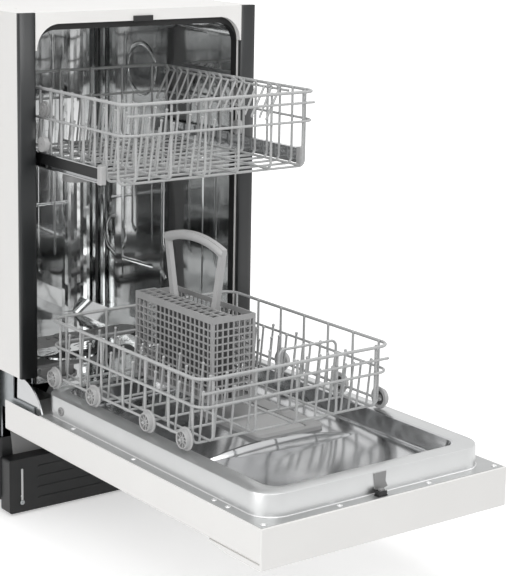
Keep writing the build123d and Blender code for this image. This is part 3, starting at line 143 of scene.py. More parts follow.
galvanised = varied("galvanised_sheet", "#9FA3A5", "#B4B8BA", (0.34, 0.48),
                    patch_mm=12, grain_mm=6, depth_mm=0.01, metallic=1.0)
screw_steel = varied("bright_zinc_screw", "#DCDCDC", "#EAEAEA", (0.3, 0.4),
                     patch_mm=4, grain_mm=1, depth_mm=0.005, metallic=1.0)
cast_iron = varied("cast_iron", "#2B2B2B", "#3D3C3A", (0.7, 0.85),
                   patch_mm=20, grain_mm=3, depth_mm=0.25)
print("sheet finishes:", white_enamel.name, polished_steel.name, tub_steel.name, galvanised.name)

# %% [markdown]
# A large thin wall is never quite flat after drawing. The tub gets a second, wide and shallow
# bump that runs down the walls, so that its mirror images waver.

# %% Waves in the walls of the tub
WAVE_MM = 60.0
WAVE_DEPTH_MM = 2.2
WAVE_STRENGTH = 0.5
WAVE_STRETCH = (1, 1, 0.22)
tree = tub_steel.node_tree
shader = tree.nodes["Principled BSDF"]
grain_normal = shader.inputs["Normal"].links[0].from_socket
waves = add_node(tree, "ShaderNodeMapping", None,
                 {"Vector": add_node(tree, "ShaderNodeTexCoord").outputs["Object"],
                  "Scale": WAVE_STRETCH})
drawn = add_node(tree, "ShaderNodeTexNoise", None,
                 {"Vector": waves.outputs["Vector"], "Scale": scale_for(WAVE_MM), "Detail": 1.0})
wavy = add_node(tree, "ShaderNodeBump", None,
                {"Height": drawn.outputs["Fac"], "Distance": WAVE_DEPTH_MM * MM,
                 "Strength": WAVE_STRENGTH, "Normal": grain_normal})
tree.links.new(wavy.outputs["Normal"], shader.inputs["Normal"])
print("nodes of the tub's finish:", len(tree.nodes))

# %% [markdown]
# The mouldings. Nylon coated wire is a smooth light grey. The basket, wheels and spray
# parts are polypropylene, in several greys with a fine moulded grain. The side strips and
# the kick plate are black plastic with the same grain, and the seal is black rubber.

# %% Plastic and rubber finishes
MOULDED = {"patch_mm": 25, "grain_mm": 1.2, "depth_mm": 0.02}
coated_wire = varied("nylon_coated_wire", "#A8A9A9", "#B5B6B6", (0.22, 0.32),
                     patch_mm=30, grain_mm=2, depth_mm=0.01)
grey_plastic = varied("grey_polypropylene", "#858585", "#939393", (0.38, 0.5), **MOULDED)
pale_plastic = varied("pale_abs", "#CBCCCC", "#D8D9D9", (0.25, 0.34),
                      patch_mm=25, grain_mm=1.2, depth_mm=0.01)
mid_plastic = varied("mid_grey_polypropylene", "#9A9A9A", "#A6A6A6", (0.34, 0.44), **MOULDED)
light_plastic = varied("light_grey_polypropylene", "#A9A9A9", "#B5B5B5", (0.34, 0.44), **MOULDED)
# This dark grey is used only as painted shade: on the webs behind the wheel spokes and on the
# middle wall of the basket.
shade_grey_plastic = varied("painted_shade_grey_polypropylene", "#4A4A4A", "#565656", (0.4, 0.5), **MOULDED)
black_plastic = varied("black_polypropylene", "#0A0B0C", "#111213", (0.36, 0.5),
                       patch_mm=40, grain_mm=1.2, depth_mm=0.02)
strip_plastic = varied("satin_black_strip", "#17191A", "#202223", (0.30, 0.42),
                       patch_mm=40, grain_mm=1.2, depth_mm=0.01)
black_rubber = varied("black_rubber", "#0A0A0A", "#131313", (0.55, 0.7),
                      patch_mm=30, grain_mm=1.5, depth_mm=0.02)
print("mouldings:", coated_wire.name, grey_plastic.name, pale_plastic.name, black_plastic.name)

# %% [markdown]
# Each solid takes the finish of its real material. The table goes by finish, and what
# it forgets is printed.

# %% Hand out the finishes
FINISHES = {
    white_enamel: ["door_outer_panel", "side_panels", "top_panel", "control_fascia", "front_frame"],
    polished_steel: ["door_liner", "hinge_arms", "slide_rails"],
    tub_steel: ["tub_wrapper", "tub_back", "tub_floor", "filter_plate"],
    galvanised: ["back_panel", "hinge_brackets"],
    coated_wire: ["lower_rack_hoops", "lower_rack_rails", "lower_rack_runners", "lower_rack_tines",
                  "wheel_axles", "upper_rack_hoops", "upper_rack_rails", "upper_rack_runners",
                  "cup_shelf"],
    grey_plastic: ["upper_spray_arm", "lower_spray_arm", "upper_feed_tube", "feed_pipe", "sump",
                   "float_cap", "filter_cartridge", "base_cover", "latch_tongue"],
    mid_plastic: ["cutlery_basket", "basket_cover", "dispenser_body"],
    light_plastic: ["basket_handle", "rack_rollers", "rail_guides", "rail_caps", "dispenser_lid",
                    "rinse_cap", "wheel_pair_1", "wheel_pair_2", "wheel_pair_3", "wheel_pair_4"],
    pale_plastic: ["button_1", "button_2", "button_3", "inlet_valve"],
    black_plastic: ["side_trims", "kick_plate", "handle_pocket", "base_tray", "levelling_feet",
                    "circulation_pump", "drain_pump", "latch_striker", "door_latch"],
    black_rubber: ["door_gasket"],
    cast_iron: ["balance_weight"],
}
dressed = set()
for finish, names in FINISHES.items():
    for name in names:
        mesh = nodes[name].data
        mesh.materials.clear()
        mesh.materials.append(finish)
        dressed.add(name)
print("without a finish:", sorted(set(nodes) - dressed))

# %% [markdown]
# What repeats is placed by a node tree: it takes a cloud of points, puts one pattern on each
# point, turned as the point says, makes the copies real and gives them the finish. An exported
# model keeps no instances, so the evaluated result becomes a plain mesh.

# %% Repeat a pattern on points


def link(thing):
    bpy.context.scene.collection.objects.link(thing)
    return thing


def evaluated_mesh(thing):
    bpy.context.view_layer.update()
    ready = thing.evaluated_get(bpy.context.evaluated_depsgraph_get())
    return bpy.data.meshes.new_from_object(ready)


def repeated(name, pattern, places, finish, turns=None):
    cloud = bpy.data.meshes.new(name + "_points")
    cloud.from_pydata(places, [], [])
    stored = cloud.attributes.new("turn", "FLOAT_VECTOR", "POINT")
    for item, turn in zip(stored.data, turns or [(0, 0, 0)] * len(places)):
        item.vector = turn
    carrier = link(bpy.data.objects.new(name, cloud))
    tree = bpy.data.node_groups.new(name + "_tree", "GeometryNodeTree")
    tree.interface.new_socket("Geometry", in_out="INPUT", socket_type="NodeSocketGeometry")
    size_socket = tree.interface.new_socket("Size", in_out="INPUT", socket_type="NodeSocketFloat")
    tree.interface.new_socket("Geometry", in_out="OUTPUT", socket_type="NodeSocketGeometry")
    inside = add_node(tree, "NodeGroupInput")
    shape = add_node(tree, "GeometryNodeObjectInfo", None, {"Object": pattern})
    turn = add_node(tree, "GeometryNodeInputNamedAttribute", {"data_type": "FLOAT_VECTOR"},
                    {"Name": "turn"})
    placed = add_node(tree, "GeometryNodeInstanceOnPoints", None,
                      {"Points": inside.outputs["Geometry"], "Instance": shape.outputs["Geometry"],
                       "Rotation": turn.outputs["Attribute"], "Scale": inside.outputs["Size"]})
    real = add_node(tree, "GeometryNodeRealizeInstances", None,
                    {"Geometry": placed.outputs["Instances"]})
    painted = add_node(tree, "GeometryNodeSetMaterial", None,
                       {"Geometry": real.outputs["Geometry"], "Material": finish})
    add_node(tree, "NodeGroupOutput", None, {"Geometry": painted.outputs["Geometry"]})
    modifier = carrier.modifiers.new("repeat", "NODES")
    modifier.node_group = tree
    modifier[size_socket.identifier] = 1.0
    mesh = evaluated_mesh(carrier)
    carrier.modifiers.remove(modifier)
    carrier.data = mesh
    print(name, "copies:", len(places), "faces:", len(mesh.polygons))
    return carrier


# %% [markdown]
# The other small pieces are closed skins of a few kinds: rings turned about an axis, loops joined
# one above the other, prisms, and plain bars. Their sizes are in millimetres, and the normals are
# turned outward when the mesh is made.

# %% Closed shapes
OVERLAP = 0.01
QUARTER = math.pi / 2


def arc(x, y, radius, start, sweep, steps):
    """Points on a part of a circle, with both ends."""
    turns = [start + sweep * k / steps for k in range(steps + 1)]
    return [(x + radius * math.cos(turn), y + radius * math.sin(turn)) for turn in turns]


def lathe(profile, steps):
    """Points and faces of a ring about X; the profile is a closed loop of (along, reach)."""
    points = []
    for along, reach in profile:
        for i in range(steps):
            turn = 2 * math.pi * i / steps
            points.append((along * MM, reach * MM * math.cos(turn), reach * MM * math.sin(turn)))
    faces = []
    rings = len(profile)
    for ring in range(rings):
        over = (ring + 1) % rings
        for i in range(steps):
            after = (i + 1) % steps
            faces.append((ring * steps + i, ring * steps + after,
                          over * steps + after, over * steps + i))
    return points, faces


def loft(loops):
    """Points and faces of a skin over loops of equal length, with a cap on the first and last."""
    size = len(loops[0])
    last = (len(loops) - 1) * size
    points = [tuple(value * MM for value in point) for loop in loops for point in loop]
    faces = [tuple(range(size)), tuple(range(last, last + size))]
    for base in range(0, last, size):
        for i in range(size):
            after = (i + 1) % size
            faces.append((base + i, base + after, base + size + after, base + size + i))
    return points, faces


def prism(outline, low, high, axis=2):
    """A prism along one axis; the outline is in the two other axes, in order."""
    return loft([[(*place[:axis], level, *place[axis:]) for place in outline]
                 for level in (low, high)])


def block(low, high):
    """A bar that overlaps its neighbours by a hair, so that no two bars share an edge."""
    x0, y0, z0 = (value - OVERLAP for value in low)
    x1, y1, z1 = (value + OVERLAP for value in high)
    return prism([(x0, y0), (x1, y0), (x1, y1), (x0, y1)], z0, z1)


def four_bars(low, high, width):
    """Bars along the four sides of a rectangle in plan."""
    x0, y0, z0 = low
    x1, y1, z1 = high
    return [block((x0, y0, z0), (x0 + width, y1, z1)),
            block((x1 - width, y0, z0), (x1, y1, z1)),
            block((x0 + width, y0, z0), (x1 - width, y0 + width, z1)),
            block((x0 + width, y1 - width, z0), (x1 - width, y1, z1))]


def joined(*parts):
    points = []
    faces = []
    for part_points, part_faces in parts:
        base = len(points)
        points += part_points
        faces += [tuple(base + k for k in face) for face in part_faces]
    return points, faces


def solid(name, points, faces, smooth=False):
    mesh = bpy.data.meshes.new(name)
    mesh.from_pydata(points, [], faces)
    work = bmesh.new()
    work.from_mesh(mesh)
    bmesh.ops.recalc_face_normals(work, faces=work.faces)
    work.to_mesh(mesh)
    work.free()
    if smooth:
        mesh.shade_smooth()
    return link(bpy.data.objects.new(name, mesh))


def add_piece(name, shape, finish, body, smooth=False):
    piece = solid(name, *shape, smooth)
    piece.data.materials.append(finish)
    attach(piece, body)
    print(name, "faces:", len(piece.data.polygons))
    return piece


# %% [markdown]
# Wires and beads are curves with a round section, made into meshes. Each path is a list of places,
# with an optional fourth value that thins the wire there, and a mark for a closed loop.

# %% Round wires
WIRE_ROUNDNESS = 3


def wires(name, paths, radius, finish, body):
    curve = bpy.data.curves.new(name, "CURVE")
    curve.dimensions = "3D"
    curve.bevel_depth = radius * MM
    curve.bevel_resolution = WIRE_ROUNDNESS
    curve.use_fill_caps = True
    for path, closed in paths:
        spline = curve.splines.new("POLY")
        spline.points.add(len(path) - 1)
        for point, place in zip(spline.points, path):
            point.co = (place[0] * MM, place[1] * MM, place[2] * MM, 1)
            point.radius = place[3] if len(place) > 3 else 1.0
        spline.use_cyclic_u = closed
    holder = link(bpy.data.objects.new(name, curve))
    mesh = evaluated_mesh(holder)
    bpy.data.objects.remove(holder)
    mesh.materials.clear()
    mesh.materials.append(finish)
    mesh.shade_smooth()
    piece = link(bpy.data.objects.new(name, mesh))
    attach(piece, body)
    print(name, "paths:", len(paths), "faces:", len(mesh.polygons))
    return piece


# %% [markdown]
# The wheels of the lower rack have a flange that runs on the liner and a cup with spokes on the
# outside. The real wheel is open behind the spokes. A dark web set there is painted shade for the
# hollow of the cup. The rings are turned profiles and the spokes are thin bars between hub and
# cup. One wheel is the pattern; each axle gets a left and a right copy, and the pair replaces the
# plain solid.

# %% Spoked wheels
FLANGE = [(-5, 11.6), (-5, 16.6), (-4.2, 17.5), (-2.4, 17.5), (-1.6, 16.6), (-1.6, 11.6)]
CUP = [(-1.7, 11.5), (-1.7, 14.2), (4.2, 13.6), (5.0, 13.0), (5.0, 12.2), (4.2, 11.5)]
HUB = [(-4.6, 2.8), (-4.6, 5.2), (3.4, 4.6), (4.2, 3.8), (4.2, 2.8)]
# The web is no part of the real wheel. It is a dark disc behind the spokes, as painted shade.
SHADE_WEB = [(-1.5, 4.9), (-1.5, 11.8), (-0.7, 11.8), (-0.7, 4.9)]
RING_STEPS = 36
WHEEL_PAIRS = 4
WHEEL_INSET = 5.0
SPOKES = 9
SPOKE_ALONG = (0.2, 3.2)
SPOKE_REACH = (4.4, 12.0)
SPOKE_WIDTH = (-0.8, 0.8)
SPOKE_FACES = ((0, 1, 3, 2), (4, 6, 7, 5), (0, 4, 5, 1), (2, 3, 7, 6), (0, 2, 6, 4), (1, 5, 7, 3))
LEFT_AND_RIGHT = [(0, 0, 0), (0, 0, math.pi)]


def spoke_bar(turn):
    points = [(along * MM, MM * (reach * math.cos(turn) - side * math.sin(turn)),
               MM * (reach * math.sin(turn) + side * math.cos(turn)))
              for along in SPOKE_ALONG for reach in SPOKE_REACH for side in SPOKE_WIDTH]
    return points, SPOKE_FACES


rings = [lathe(profile, RING_STEPS) for profile in (FLANGE, CUP, HUB)]
spokes = [spoke_bar(2 * math.pi * spoke / SPOKES) for spoke in range(SPOKES)]
WHEEL = solid("wheel_pattern", *joined(*rings, *spokes))
WHEEL_SHADE_WEB = solid("web_pattern", *lathe(SHADE_WEB, RING_STEPS))
for pair in range(1, WHEEL_PAIRS + 1):
    name = "wheel_pair_%d" % pair
    low, high = (Vector(corner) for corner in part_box(name))
    middle = (low + high) / 2
    out = high.x - WHEEL_INSET * MM
    places = [(out, middle.y, middle.z), (-out, middle.y, middle.z)]
    wheels = repeated("wheels_%d" % pair, WHEEL, places, light_plastic, LEFT_AND_RIGHT)
    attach(wheels, name)
    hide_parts(name)
    # Dark webs behind the spokes: painted shade for the open wheel.
    shade_webs = repeated("wheel_webs_%d" % pair, WHEEL_SHADE_WEB, places, shade_grey_plastic, LEFT_AND_RIGHT)
    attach(shade_webs, name)
bpy.data.objects.remove(WHEEL)
bpy.data.objects.remove(WHEEL_SHADE_WEB)

# %% [markdown]
# A bright steel flange covers the rim of the door around the liner, inside the white edge of the
# outer panel. It is one thin flat U with rounded inner corners.

# %% Flange of the door
RIM_TOP = 199.6
FLANGE_SHEET = 0.6
FLANGE_HALF = 219.6
FLANGE_FRONT = -574.0
FLANGE_TAIL = 6.0
LINER_HALF = 202.5
LINER_FRONT = -557.5
HOLE_AIR = 0.4
HOLE_RADIUS = 42.0
HOLE_STEPS = 8
flange_top = RIM_TOP + FLANGE_SHEET
hole_half = LINER_HALF + HOLE_AIR
turn_x = hole_half - HOLE_RADIUS
turn_y = LINER_FRONT - HOLE_AIR + HOLE_RADIUS
outline = [(-FLANGE_HALF, FLANGE_TAIL), (-FLANGE_HALF, FLANGE_FRONT), (FLANGE_HALF, FLANGE_FRONT),
           (FLANGE_HALF, FLANGE_TAIL), (hole_half, FLANGE_TAIL)]
outline += arc(turn_x, turn_y, HOLE_RADIUS, 0, -QUARTER, HOLE_STEPS)
outline += arc(-turn_x, turn_y, HOLE_RADIUS, -QUARTER, -QUARTER, HOLE_STEPS)
outline.append((-hole_half, FLANGE_TAIL))
add_piece("door_flange", prism(outline, RIM_TOP, flange_top), flange_steel, "door")

# %% [markdown]
# Small screws hold the flange. A screw head is a low dome with a dip in the middle, turned from
# a profile, and the node tree puts one at each place.

# %% Screws of the door
HEAD = [(0.0, 4.2), (0.7, 4.0), (1.2, 3.0), (1.3, 1.2), (0.6, 0.5), (0.0, 0.5)]
HEAD_STEPS = 16
SIDE_SCREW_X = 0.2097
SIDE_SCREW_ROWS = (-0.565, -0.485, -0.453, -0.250, -0.080)
FRONT_SCREW_X = 0.081
FRONT_SCREW_Y = -0.566
head_points, head_faces = lathe(HEAD, HEAD_STEPS)
SCREW = solid("screw_pattern", [(z, y, x) for x, y, z in head_points], head_faces, True)
screw_z = flange_top * MM
places = [(side * SIDE_SCREW_X, y, screw_z) for side in (-1, 1) for y in SIDE_SCREW_ROWS]
places += [(side * FRONT_SCREW_X, FRONT_SCREW_Y, screw_z) for side in (-1, 1)]
door_screws = repeated("door_screws", SCREW, places, screw_steel)
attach(door_screws, "door")

# %% [markdown]
# The kick plate has a slot at each end, with a pale strip behind it and a screw at its foot.

# %% Strips behind the slots of the kick plate
SLOT_FROM_END = 23.0
SLOT_Z = (25.0, 78.0)
SLOT_RADIUS = 1.7
SLOT_STEPS = 6
STRIP_BACK = 0.4
STRIP_FRONT = -0.35
KICK_SCREW_OUT = 0.3
KICK_SCREW_DROP = 3.0
kick_low, kick_high = (Vector(corner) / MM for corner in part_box("kick_plate"))
strips = []
places = []
for side in (-1, 1):
    middle = side * (kick_high.x - SLOT_FROM_END)
    rim = arc(middle, SLOT_Z[1], SLOT_RADIUS, 0, math.pi, SLOT_STEPS)
    rim += arc(middle, SLOT_Z[0], SLOT_RADIUS, math.pi, math.pi, SLOT_STEPS)
    strips.append(prism(rim, kick_low.y + STRIP_BACK, kick_low.y + STRIP_FRONT, axis=1))
    places.append((middle * MM, (kick_low.y - KICK_SCREW_OUT) * MM,
                   (SLOT_Z[0] - KICK_SCREW_DROP) * MM))
add_piece("slot_strips", joined(*strips), pale_plastic, "tub")
kick_screws = repeated("kick_screws", SCREW, places, galvanised, [(QUARTER, 0, 0)] * 2)
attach(kick_screws, "tub")
bpy.data.objects.remove(SCREW)

# %% [markdown]
# The floor of the liner steps down towards the front. The step shows as a bright crescent: a lens
# in plan, highest in the middle, with a steep face to the front and a short slope behind it.

# %% Step in the liner
BED = 207.0
STEP_LIFT = 0.02
STEP_ENDS = ((-138.0, -333.0), (120.0, -355.0))
STEP_BOW = 10.0
STEP_HEIGHT = 12.5
STEP_TIP = 0.05
STEP_FULLNESS = 0.8
STEP_CREASE = math.radians(30)
SLICES = 48
SECTION = ((-1.0, 0.0), (0.55, 0.92), (0.75, 1.0), (1.5, 0.94), (2.0, 0.0))
(x0, y0), (x1, y1) = STEP_ENDS
slices = []
for i in range(SLICES + 1):
    t = i / SLICES
    swell = STEP_TIP + (1 - STEP_TIP) * math.sin(math.pi * t) ** STEP_FULLNESS
    slices.append([(x0 + t * (x1 - x0), y0 + t * (y1 - y0) + STEP_BOW * back * swell,
                    BED + STEP_LIFT + STEP_HEIGHT * rise * swell) for back, rise in SECTION])
liner_step = add_piece("liner_step", loft(slices), polished_steel, "door", True)
liner_step.data.set_sharp_from_angle(angle=STEP_CREASE)

# %% [markdown]
# The walls of the tub are pressed with beads that stiffen the thin sheet: upright beads, two round
# ones, a long low one and one near the top on each side, and a few on the back. They are round
# wires pressed flat against the wall, so that they show as soft bands. The beads near the mouth
# are the flattest.

# %% Beads pressed into the tub
BEAD = 4.6
BEAD_FLATTEN = 0.4
FRONT_FLATTEN = 0.1
FRONT_BEADS = 250.0
WALL = 196.2
BACK_WALL = 539.3
UPRIGHT_TOP = 575
UPRIGHTS = ((386, 388), (320, 370), (286, 366), (202, 380), (164, 372), (122, 366))
UPRIGHT_FOOT = ((0, 14), (-3, 4), (-10, 0))
ROUND_BEADS = ((445, 371, 33), (360, 690, 46))
ROUND_STEPS = 40
LOW_BEAD = ((486, 362), (474, 340), (450, 329), (420, 327), (300, 331), (284, 326), (276, 314))
TOP_BEAD = ((120, 772), (300, 786), (440, 790))
BACK_UPRIGHTS = (-150, -118, 118, 150)
BACK_HEIGHTS = (320, 740)
BACK_LEVELS = ((-170, -24), (24, 170))
BACK_LEVEL_Z = 420
bead_paths = []
for wall in (-WALL, WALL):
    for y, foot in UPRIGHTS:
        path = [(wall, y, UPRIGHT_TOP)]
        path += [(wall, y + back, foot + rise) for back, rise in UPRIGHT_FOOT]
        bead_paths.append((path, False))
    for y, z, radius in ROUND_BEADS:
        ring = arc(y, z, radius, 0, 2 * math.pi, ROUND_STEPS)[:-1]
        bead_paths.append(([(wall, *place) for place in ring], True))
    for line in (LOW_BEAD, TOP_BEAD):
        bead_paths.append(([(wall, *place) for place in line], False))
for x in BACK_UPRIGHTS:
    bead_paths.append(([(x, BACK_WALL, z) for z in BACK_HEIGHTS], False))
for ends in BACK_LEVELS:
    bead_paths.append(([(x, BACK_WALL, BACK_LEVEL_Z) for x in ends], False))
tub_beads = wires("tub_beads", bead_paths, BEAD, tub_steel, "tub")
for vertex in tub_beads.data.vertices:
    x, y, z = vertex.co / MM
    if abs(x) > WALL - 2 * BEAD:
        flatten = FRONT_FLATTEN if y < FRONT_BEADS else BEAD_FLATTEN
        vertex.co.x = math.copysign(WALL + (abs(x) - WALL) * flatten, x) * MM
    else:
        vertex.co.y = (BACK_WALL + (y - BACK_WALL) * BEAD_FLATTEN) * MM

# %% [markdown]
# The free ends of the wires are found on the solids: each rod of a node is followed from point to
# point, and the middle of its highest or lowest slice is its end. Rods that lie flat, or that are
# too long for a tine, are passed over.

# %% Free ends of the wires
LEAST_RISE = 30.0
MOST_DEPTH = 60.0
END_SLICE = 1.2
MERGE = 0.01
TINE_LENGTH = 90.0
HOOP_LENGTH = 400.0


def wire_ends(node_name, longest_mm, pick):
    work = bmesh.new()
    work.from_mesh(nodes[node_name].data)
    bmesh.ops.remove_doubles(work, verts=work.verts, dist=MERGE * MM)
    ends = []
    seen = set()
    for first in work.verts:
        if first in seen:
            continue
        group = [first]
        seen.add(first)
        for vert in group:
            for edge in vert.link_edges:
                other = edge.other_vert(vert)
                if other not in seen:
                    seen.add(other)
                    group.append(other)
        places = [nodes[node_name].matrix_world @ vert.co for vert in group]
        span = [max(p[k] for p in places) - min(p[k] for p in places) for k in range(3)]
        if (span[2] < LEAST_RISE * MM or max(span) > longest_mm * MM
                or span[1] > MOST_DEPTH * MM):
            continue
        edge_z = pick(p.z for p in places)
        tip = [p for p in places if abs(p.z - edge_z) < END_SLICE * MM]
        ends.append(sum(tip, Vector()) / len(tip))
    work.free()
    return ends


lower_tips = wire_ends("lower_rack_tines", TINE_LENGTH, max)
hoop_tops = wire_ends("upper_rack_hoops", HOOP_LENGTH, max)
shelf_heads = wire_ends("cup_shelf", TINE_LENGTH, max)
shelf_tails = wire_ends("cup_shelf", TINE_LENGTH, min)
print("tines:", len(lower_tips), "hoops:", len(hoop_tops), "shelf wires:", len(shelf_tails))

# %% [markdown]
# The real racks have about twice as many tines as the solids, so more stand in the same rows,
# except where the basket is.

# %% More tines
TINE_WIRE = 1.75
TINE_LEAN = 9.0
BASKET_AIR = 8.0
EXTRA_TINE_X = (-160.0, -75.0, 75.0, 115.0, 150.0)
UPPER_EXTRA_X = (-85.0, -10.0)
UPPER_EXTRA_FOOT = 3.0
UPPER_EXTRA_RISE = 84.0
basket_low, basket_high = (Vector(corner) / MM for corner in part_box("cutlery_basket"))
tine_low, tine_high = (Vector(corner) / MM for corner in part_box("lower_rack_tines"))
extra_tips = []
tine_paths = []
for row in sorted({round(tip.y / MM, 1) for tip in lower_tips}):
    for x in EXTRA_TINE_X:
        beside = not basket_low.x - BASKET_AIR < x < basket_high.x + BASKET_AIR
        clear = row + TINE_LEAN < basket_low.y - BASKET_AIR or row > basket_high.y + BASKET_AIR
        if beside or clear:
            tine_paths.append(([(x, row + TINE_LEAN, tine_low.z), (x, row, tine_high.z)], False))
            extra_tips.append(Vector((x, row, tine_high.z)) * MM)
wires("extra_tines", tine_paths, TINE_WIRE, coated_wire, "lower_rack")
upper_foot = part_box("upper_rack_hoops")[0][2] / MM + UPPER_EXTRA_FOOT
upper_top = upper_foot + UPPER_EXTRA_RISE
upper_rows = sorted({round(place.y / MM, 1) for place in hoop_tops})
upper_paths = [([(x, row, upper_foot), (x + TINE_LEAN, row, upper_top)], False)
               for x in UPPER_EXTRA_X for row in upper_rows]
wires("upper_extra_tines", upper_paths, TINE_WIRE, coated_wire, "upper_rack")
upper_tips = [Vector(path[-1]) * MM for path, closed in upper_paths]

# %% [markdown]
# The coating gathers into a small ball at the free end of each tine and shelf wire. One ball is
# the pattern for all of them.

# %% Ball tips of the tines
BALL = 2.6
BALL_FINENESS = 2
ball = bmesh.new()
bmesh.ops.create_icosphere(ball, subdivisions=BALL_FINENESS, radius=BALL * MM)
ball_mesh = bpy.data.meshes.new("ball_pattern")
ball.to_mesh(ball_mesh)
ball.free()
ball_mesh.shade_smooth()
BALL_TIP = link(bpy.data.objects.new("ball_pattern", ball_mesh))
for name, body, tips in (("lower_rack_tines_tips", "lower_rack", lower_tips + extra_tips),
                         ("cup_shelf_tips", "cup_shelf", shelf_tails),
                         ("upper_tine_tips", "upper_rack", upper_tips)):
    balls = repeated(name, BALL_TIP, tips, coated_wire)
    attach(balls, body)
bpy.data.objects.remove(BALL_TIP)

# %% [markdown]
# The black strips beside the opening are smooth, with a front that bows out a little. They are
# prisms and replace the plain strips.

# %% Bowed side strips
BOW = 1.5
BOW_POWER = 4
BOW_STEPS = 12
trim_low, trim_high = (Vector(corner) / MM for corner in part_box("side_trims"))
trim = nodes["side_trims"]
trim_points = [trim.matrix_world @ vertex.co / MM for vertex in trim.data.vertices]
inner_edge = min(point.x for point in trim_points if point.x > 0)
strips = []
for side in (-1, 1):
    near, far = sorted((side * inner_edge, side * trim_high.x))
    outline = [(near, trim_high.y), (far, trim_high.y)]
    for step in range(BOW_STEPS + 1):
        t = step / BOW_STEPS
        outline.append((far + (near - far) * t, trim_low.y + BOW * (2 * t - 1) ** BOW_POWER))
    strips.append(prism(outline, trim_low.z, trim_high.z))
side_strips = add_piece("side_strips", joined(*strips), strip_plastic, "tub", True)
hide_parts("side_trims")

# %% [markdown]
# Where the walls of the tub meet the back, the sheet turns in a wide round. A prism with a hollow
# front fills each of the two corners.

# %% Round corners of the tub
CORNER = 62.0
CORNER_STEPS = 16
CORNER_INSET = 0.1
CORNER_BACK = 0.2
TUB_HEIGHTS = (206.0, 809.0)
hollow = arc(WALL - CORNER - CORNER_INSET, BACK_WALL - CORNER, CORNER, 0, QUARTER, CORNER_STEPS)
corners = []
for side in (-1, 1):
    outline = [(side * WALL, BACK_WALL + CORNER_BACK)] + [(side * x, y) for x, y in hollow]
    corners.append(prism(outline, *TUB_HEIGHTS))
add_piece("tub_corners", joined(*corners), tub_steel, "tub")

# %% [markdown]
# The cutlery basket is a fine lattice: posts, a rim and a foot carry thin ribs, and a middle wall
# divides it along the middle. That wall is the basket's own grey plastic, made darker as painted
# shade for the inside of the basket. The frame comes first and replaces the plain basket.

# %% Frame of the basket
POST = 5.0
POST_INSET = 0.05
RIM = 8.0
RIM_DROP = 0.1
FOOT = 5.0
SKIN = 2.0
x0, y0, z0 = basket_low
x1, y1, z1 = basket_high
frame_parts = [block((x0, y0, z0), (x1, y1, z0 + SKIN))]
for low_z, high_z in ((z0 + SKIN, z0 + FOOT), (z1 - RIM, z1)):
    frame_parts += four_bars((x0, y0, low_z), (x1, y1, high_z), SKIN)
for x in (x0, x1 - POST):
    for y in (y0, y1 - POST):
        frame_parts.append(block((x + POST_INSET, y + POST_INSET, z0 + SKIN),
                                 (x + POST - POST_INSET, y + POST - POST_INSET, z1 - RIM_DROP)))
basket_frame = add_piece("basket_frame", joined(*frame_parts), mid_plastic,
                         "basket")
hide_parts("cutlery_basket")
middle_x = (x0 + x1) / 2
# The middle wall is darker than the basket. This is painted shade, because the wall lies in shadow
# inside.
shaded_divider = block((middle_x - SKIN / 2, y0 + SKIN, z0 + SKIN),
                (middle_x + SKIN / 2, y1 - SKIN, z1 - RIM_DROP))
add_piece("basket_divider", shaded_divider, shade_grey_plastic, "basket")

# %% [markdown]
# Upright and level ribs fill the walls of the basket. Each kind is one bar, repeated along the two
# walls that it belongs to; the level bars are a little thinner, so that faces don't coincide.

# %% Ribs of the basket
RIB = 2.4
RIB_OVERLAP = 1
CELLS = (8, 18, 11)
UPRIGHT_RIB = SKIN - 0.3
LEVEL_RIB = UPRIGHT_RIB - 0.2


def ribs(name, size, places):
    half = [value / 2 for value in size]
    pattern = solid(name + "_pattern", *block([-h for h in half], half))
    piece = repeated(name, pattern, [tuple(v * MM for v in place) for place in places], mid_plastic)
    bpy.data.objects.remove(pattern)
    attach(piece, "basket")


span = basket_high - basket_low
window = span.z - RIM - FOOT
upright_z = (z0 + FOOT + z1 - RIM) / 2
middle_y = (y0 + y1) / 2
sides = (x0 + SKIN / 2, x1 - SKIN / 2)
ends = (y0 + SKIN / 2, y1 - SKIN / 2)
xs = [x0 + span.x * k / CELLS[0] for k in range(1, CELLS[0])]
ys = [y0 + span.y * k / CELLS[1] for k in range(1, CELLS[1])]
zs = [z0 + FOOT + window * k / CELLS[2] for k in range(1, CELLS[2])]
ribs("ribs_upright_long", (UPRIGHT_RIB, RIB, window + RIB_OVERLAP),
     [(x, y, upright_z) for x in sides for y in ys])
ribs("ribs_upright_short", (RIB, UPRIGHT_RIB, window + RIB_OVERLAP),
     [(x, y, upright_z) for x in xs for y in ends])
ribs("ribs_level_long", (LEVEL_RIB, span.y - 2 * SKIN, RIB),
     [(x, middle_y, z) for x in sides for z in zs])
ribs("ribs_level_short", (span.x - 2 * SKIN, LEVEL_RIB, RIB),
     [(middle_x, y, z) for y in ends for z in zs])

# %% [markdown]
# The cover of the basket is an open grate, so that cutlery can hang in it: a rim, a bar along the
# middle and thin bars across. It replaces the plain cover and flips with it.

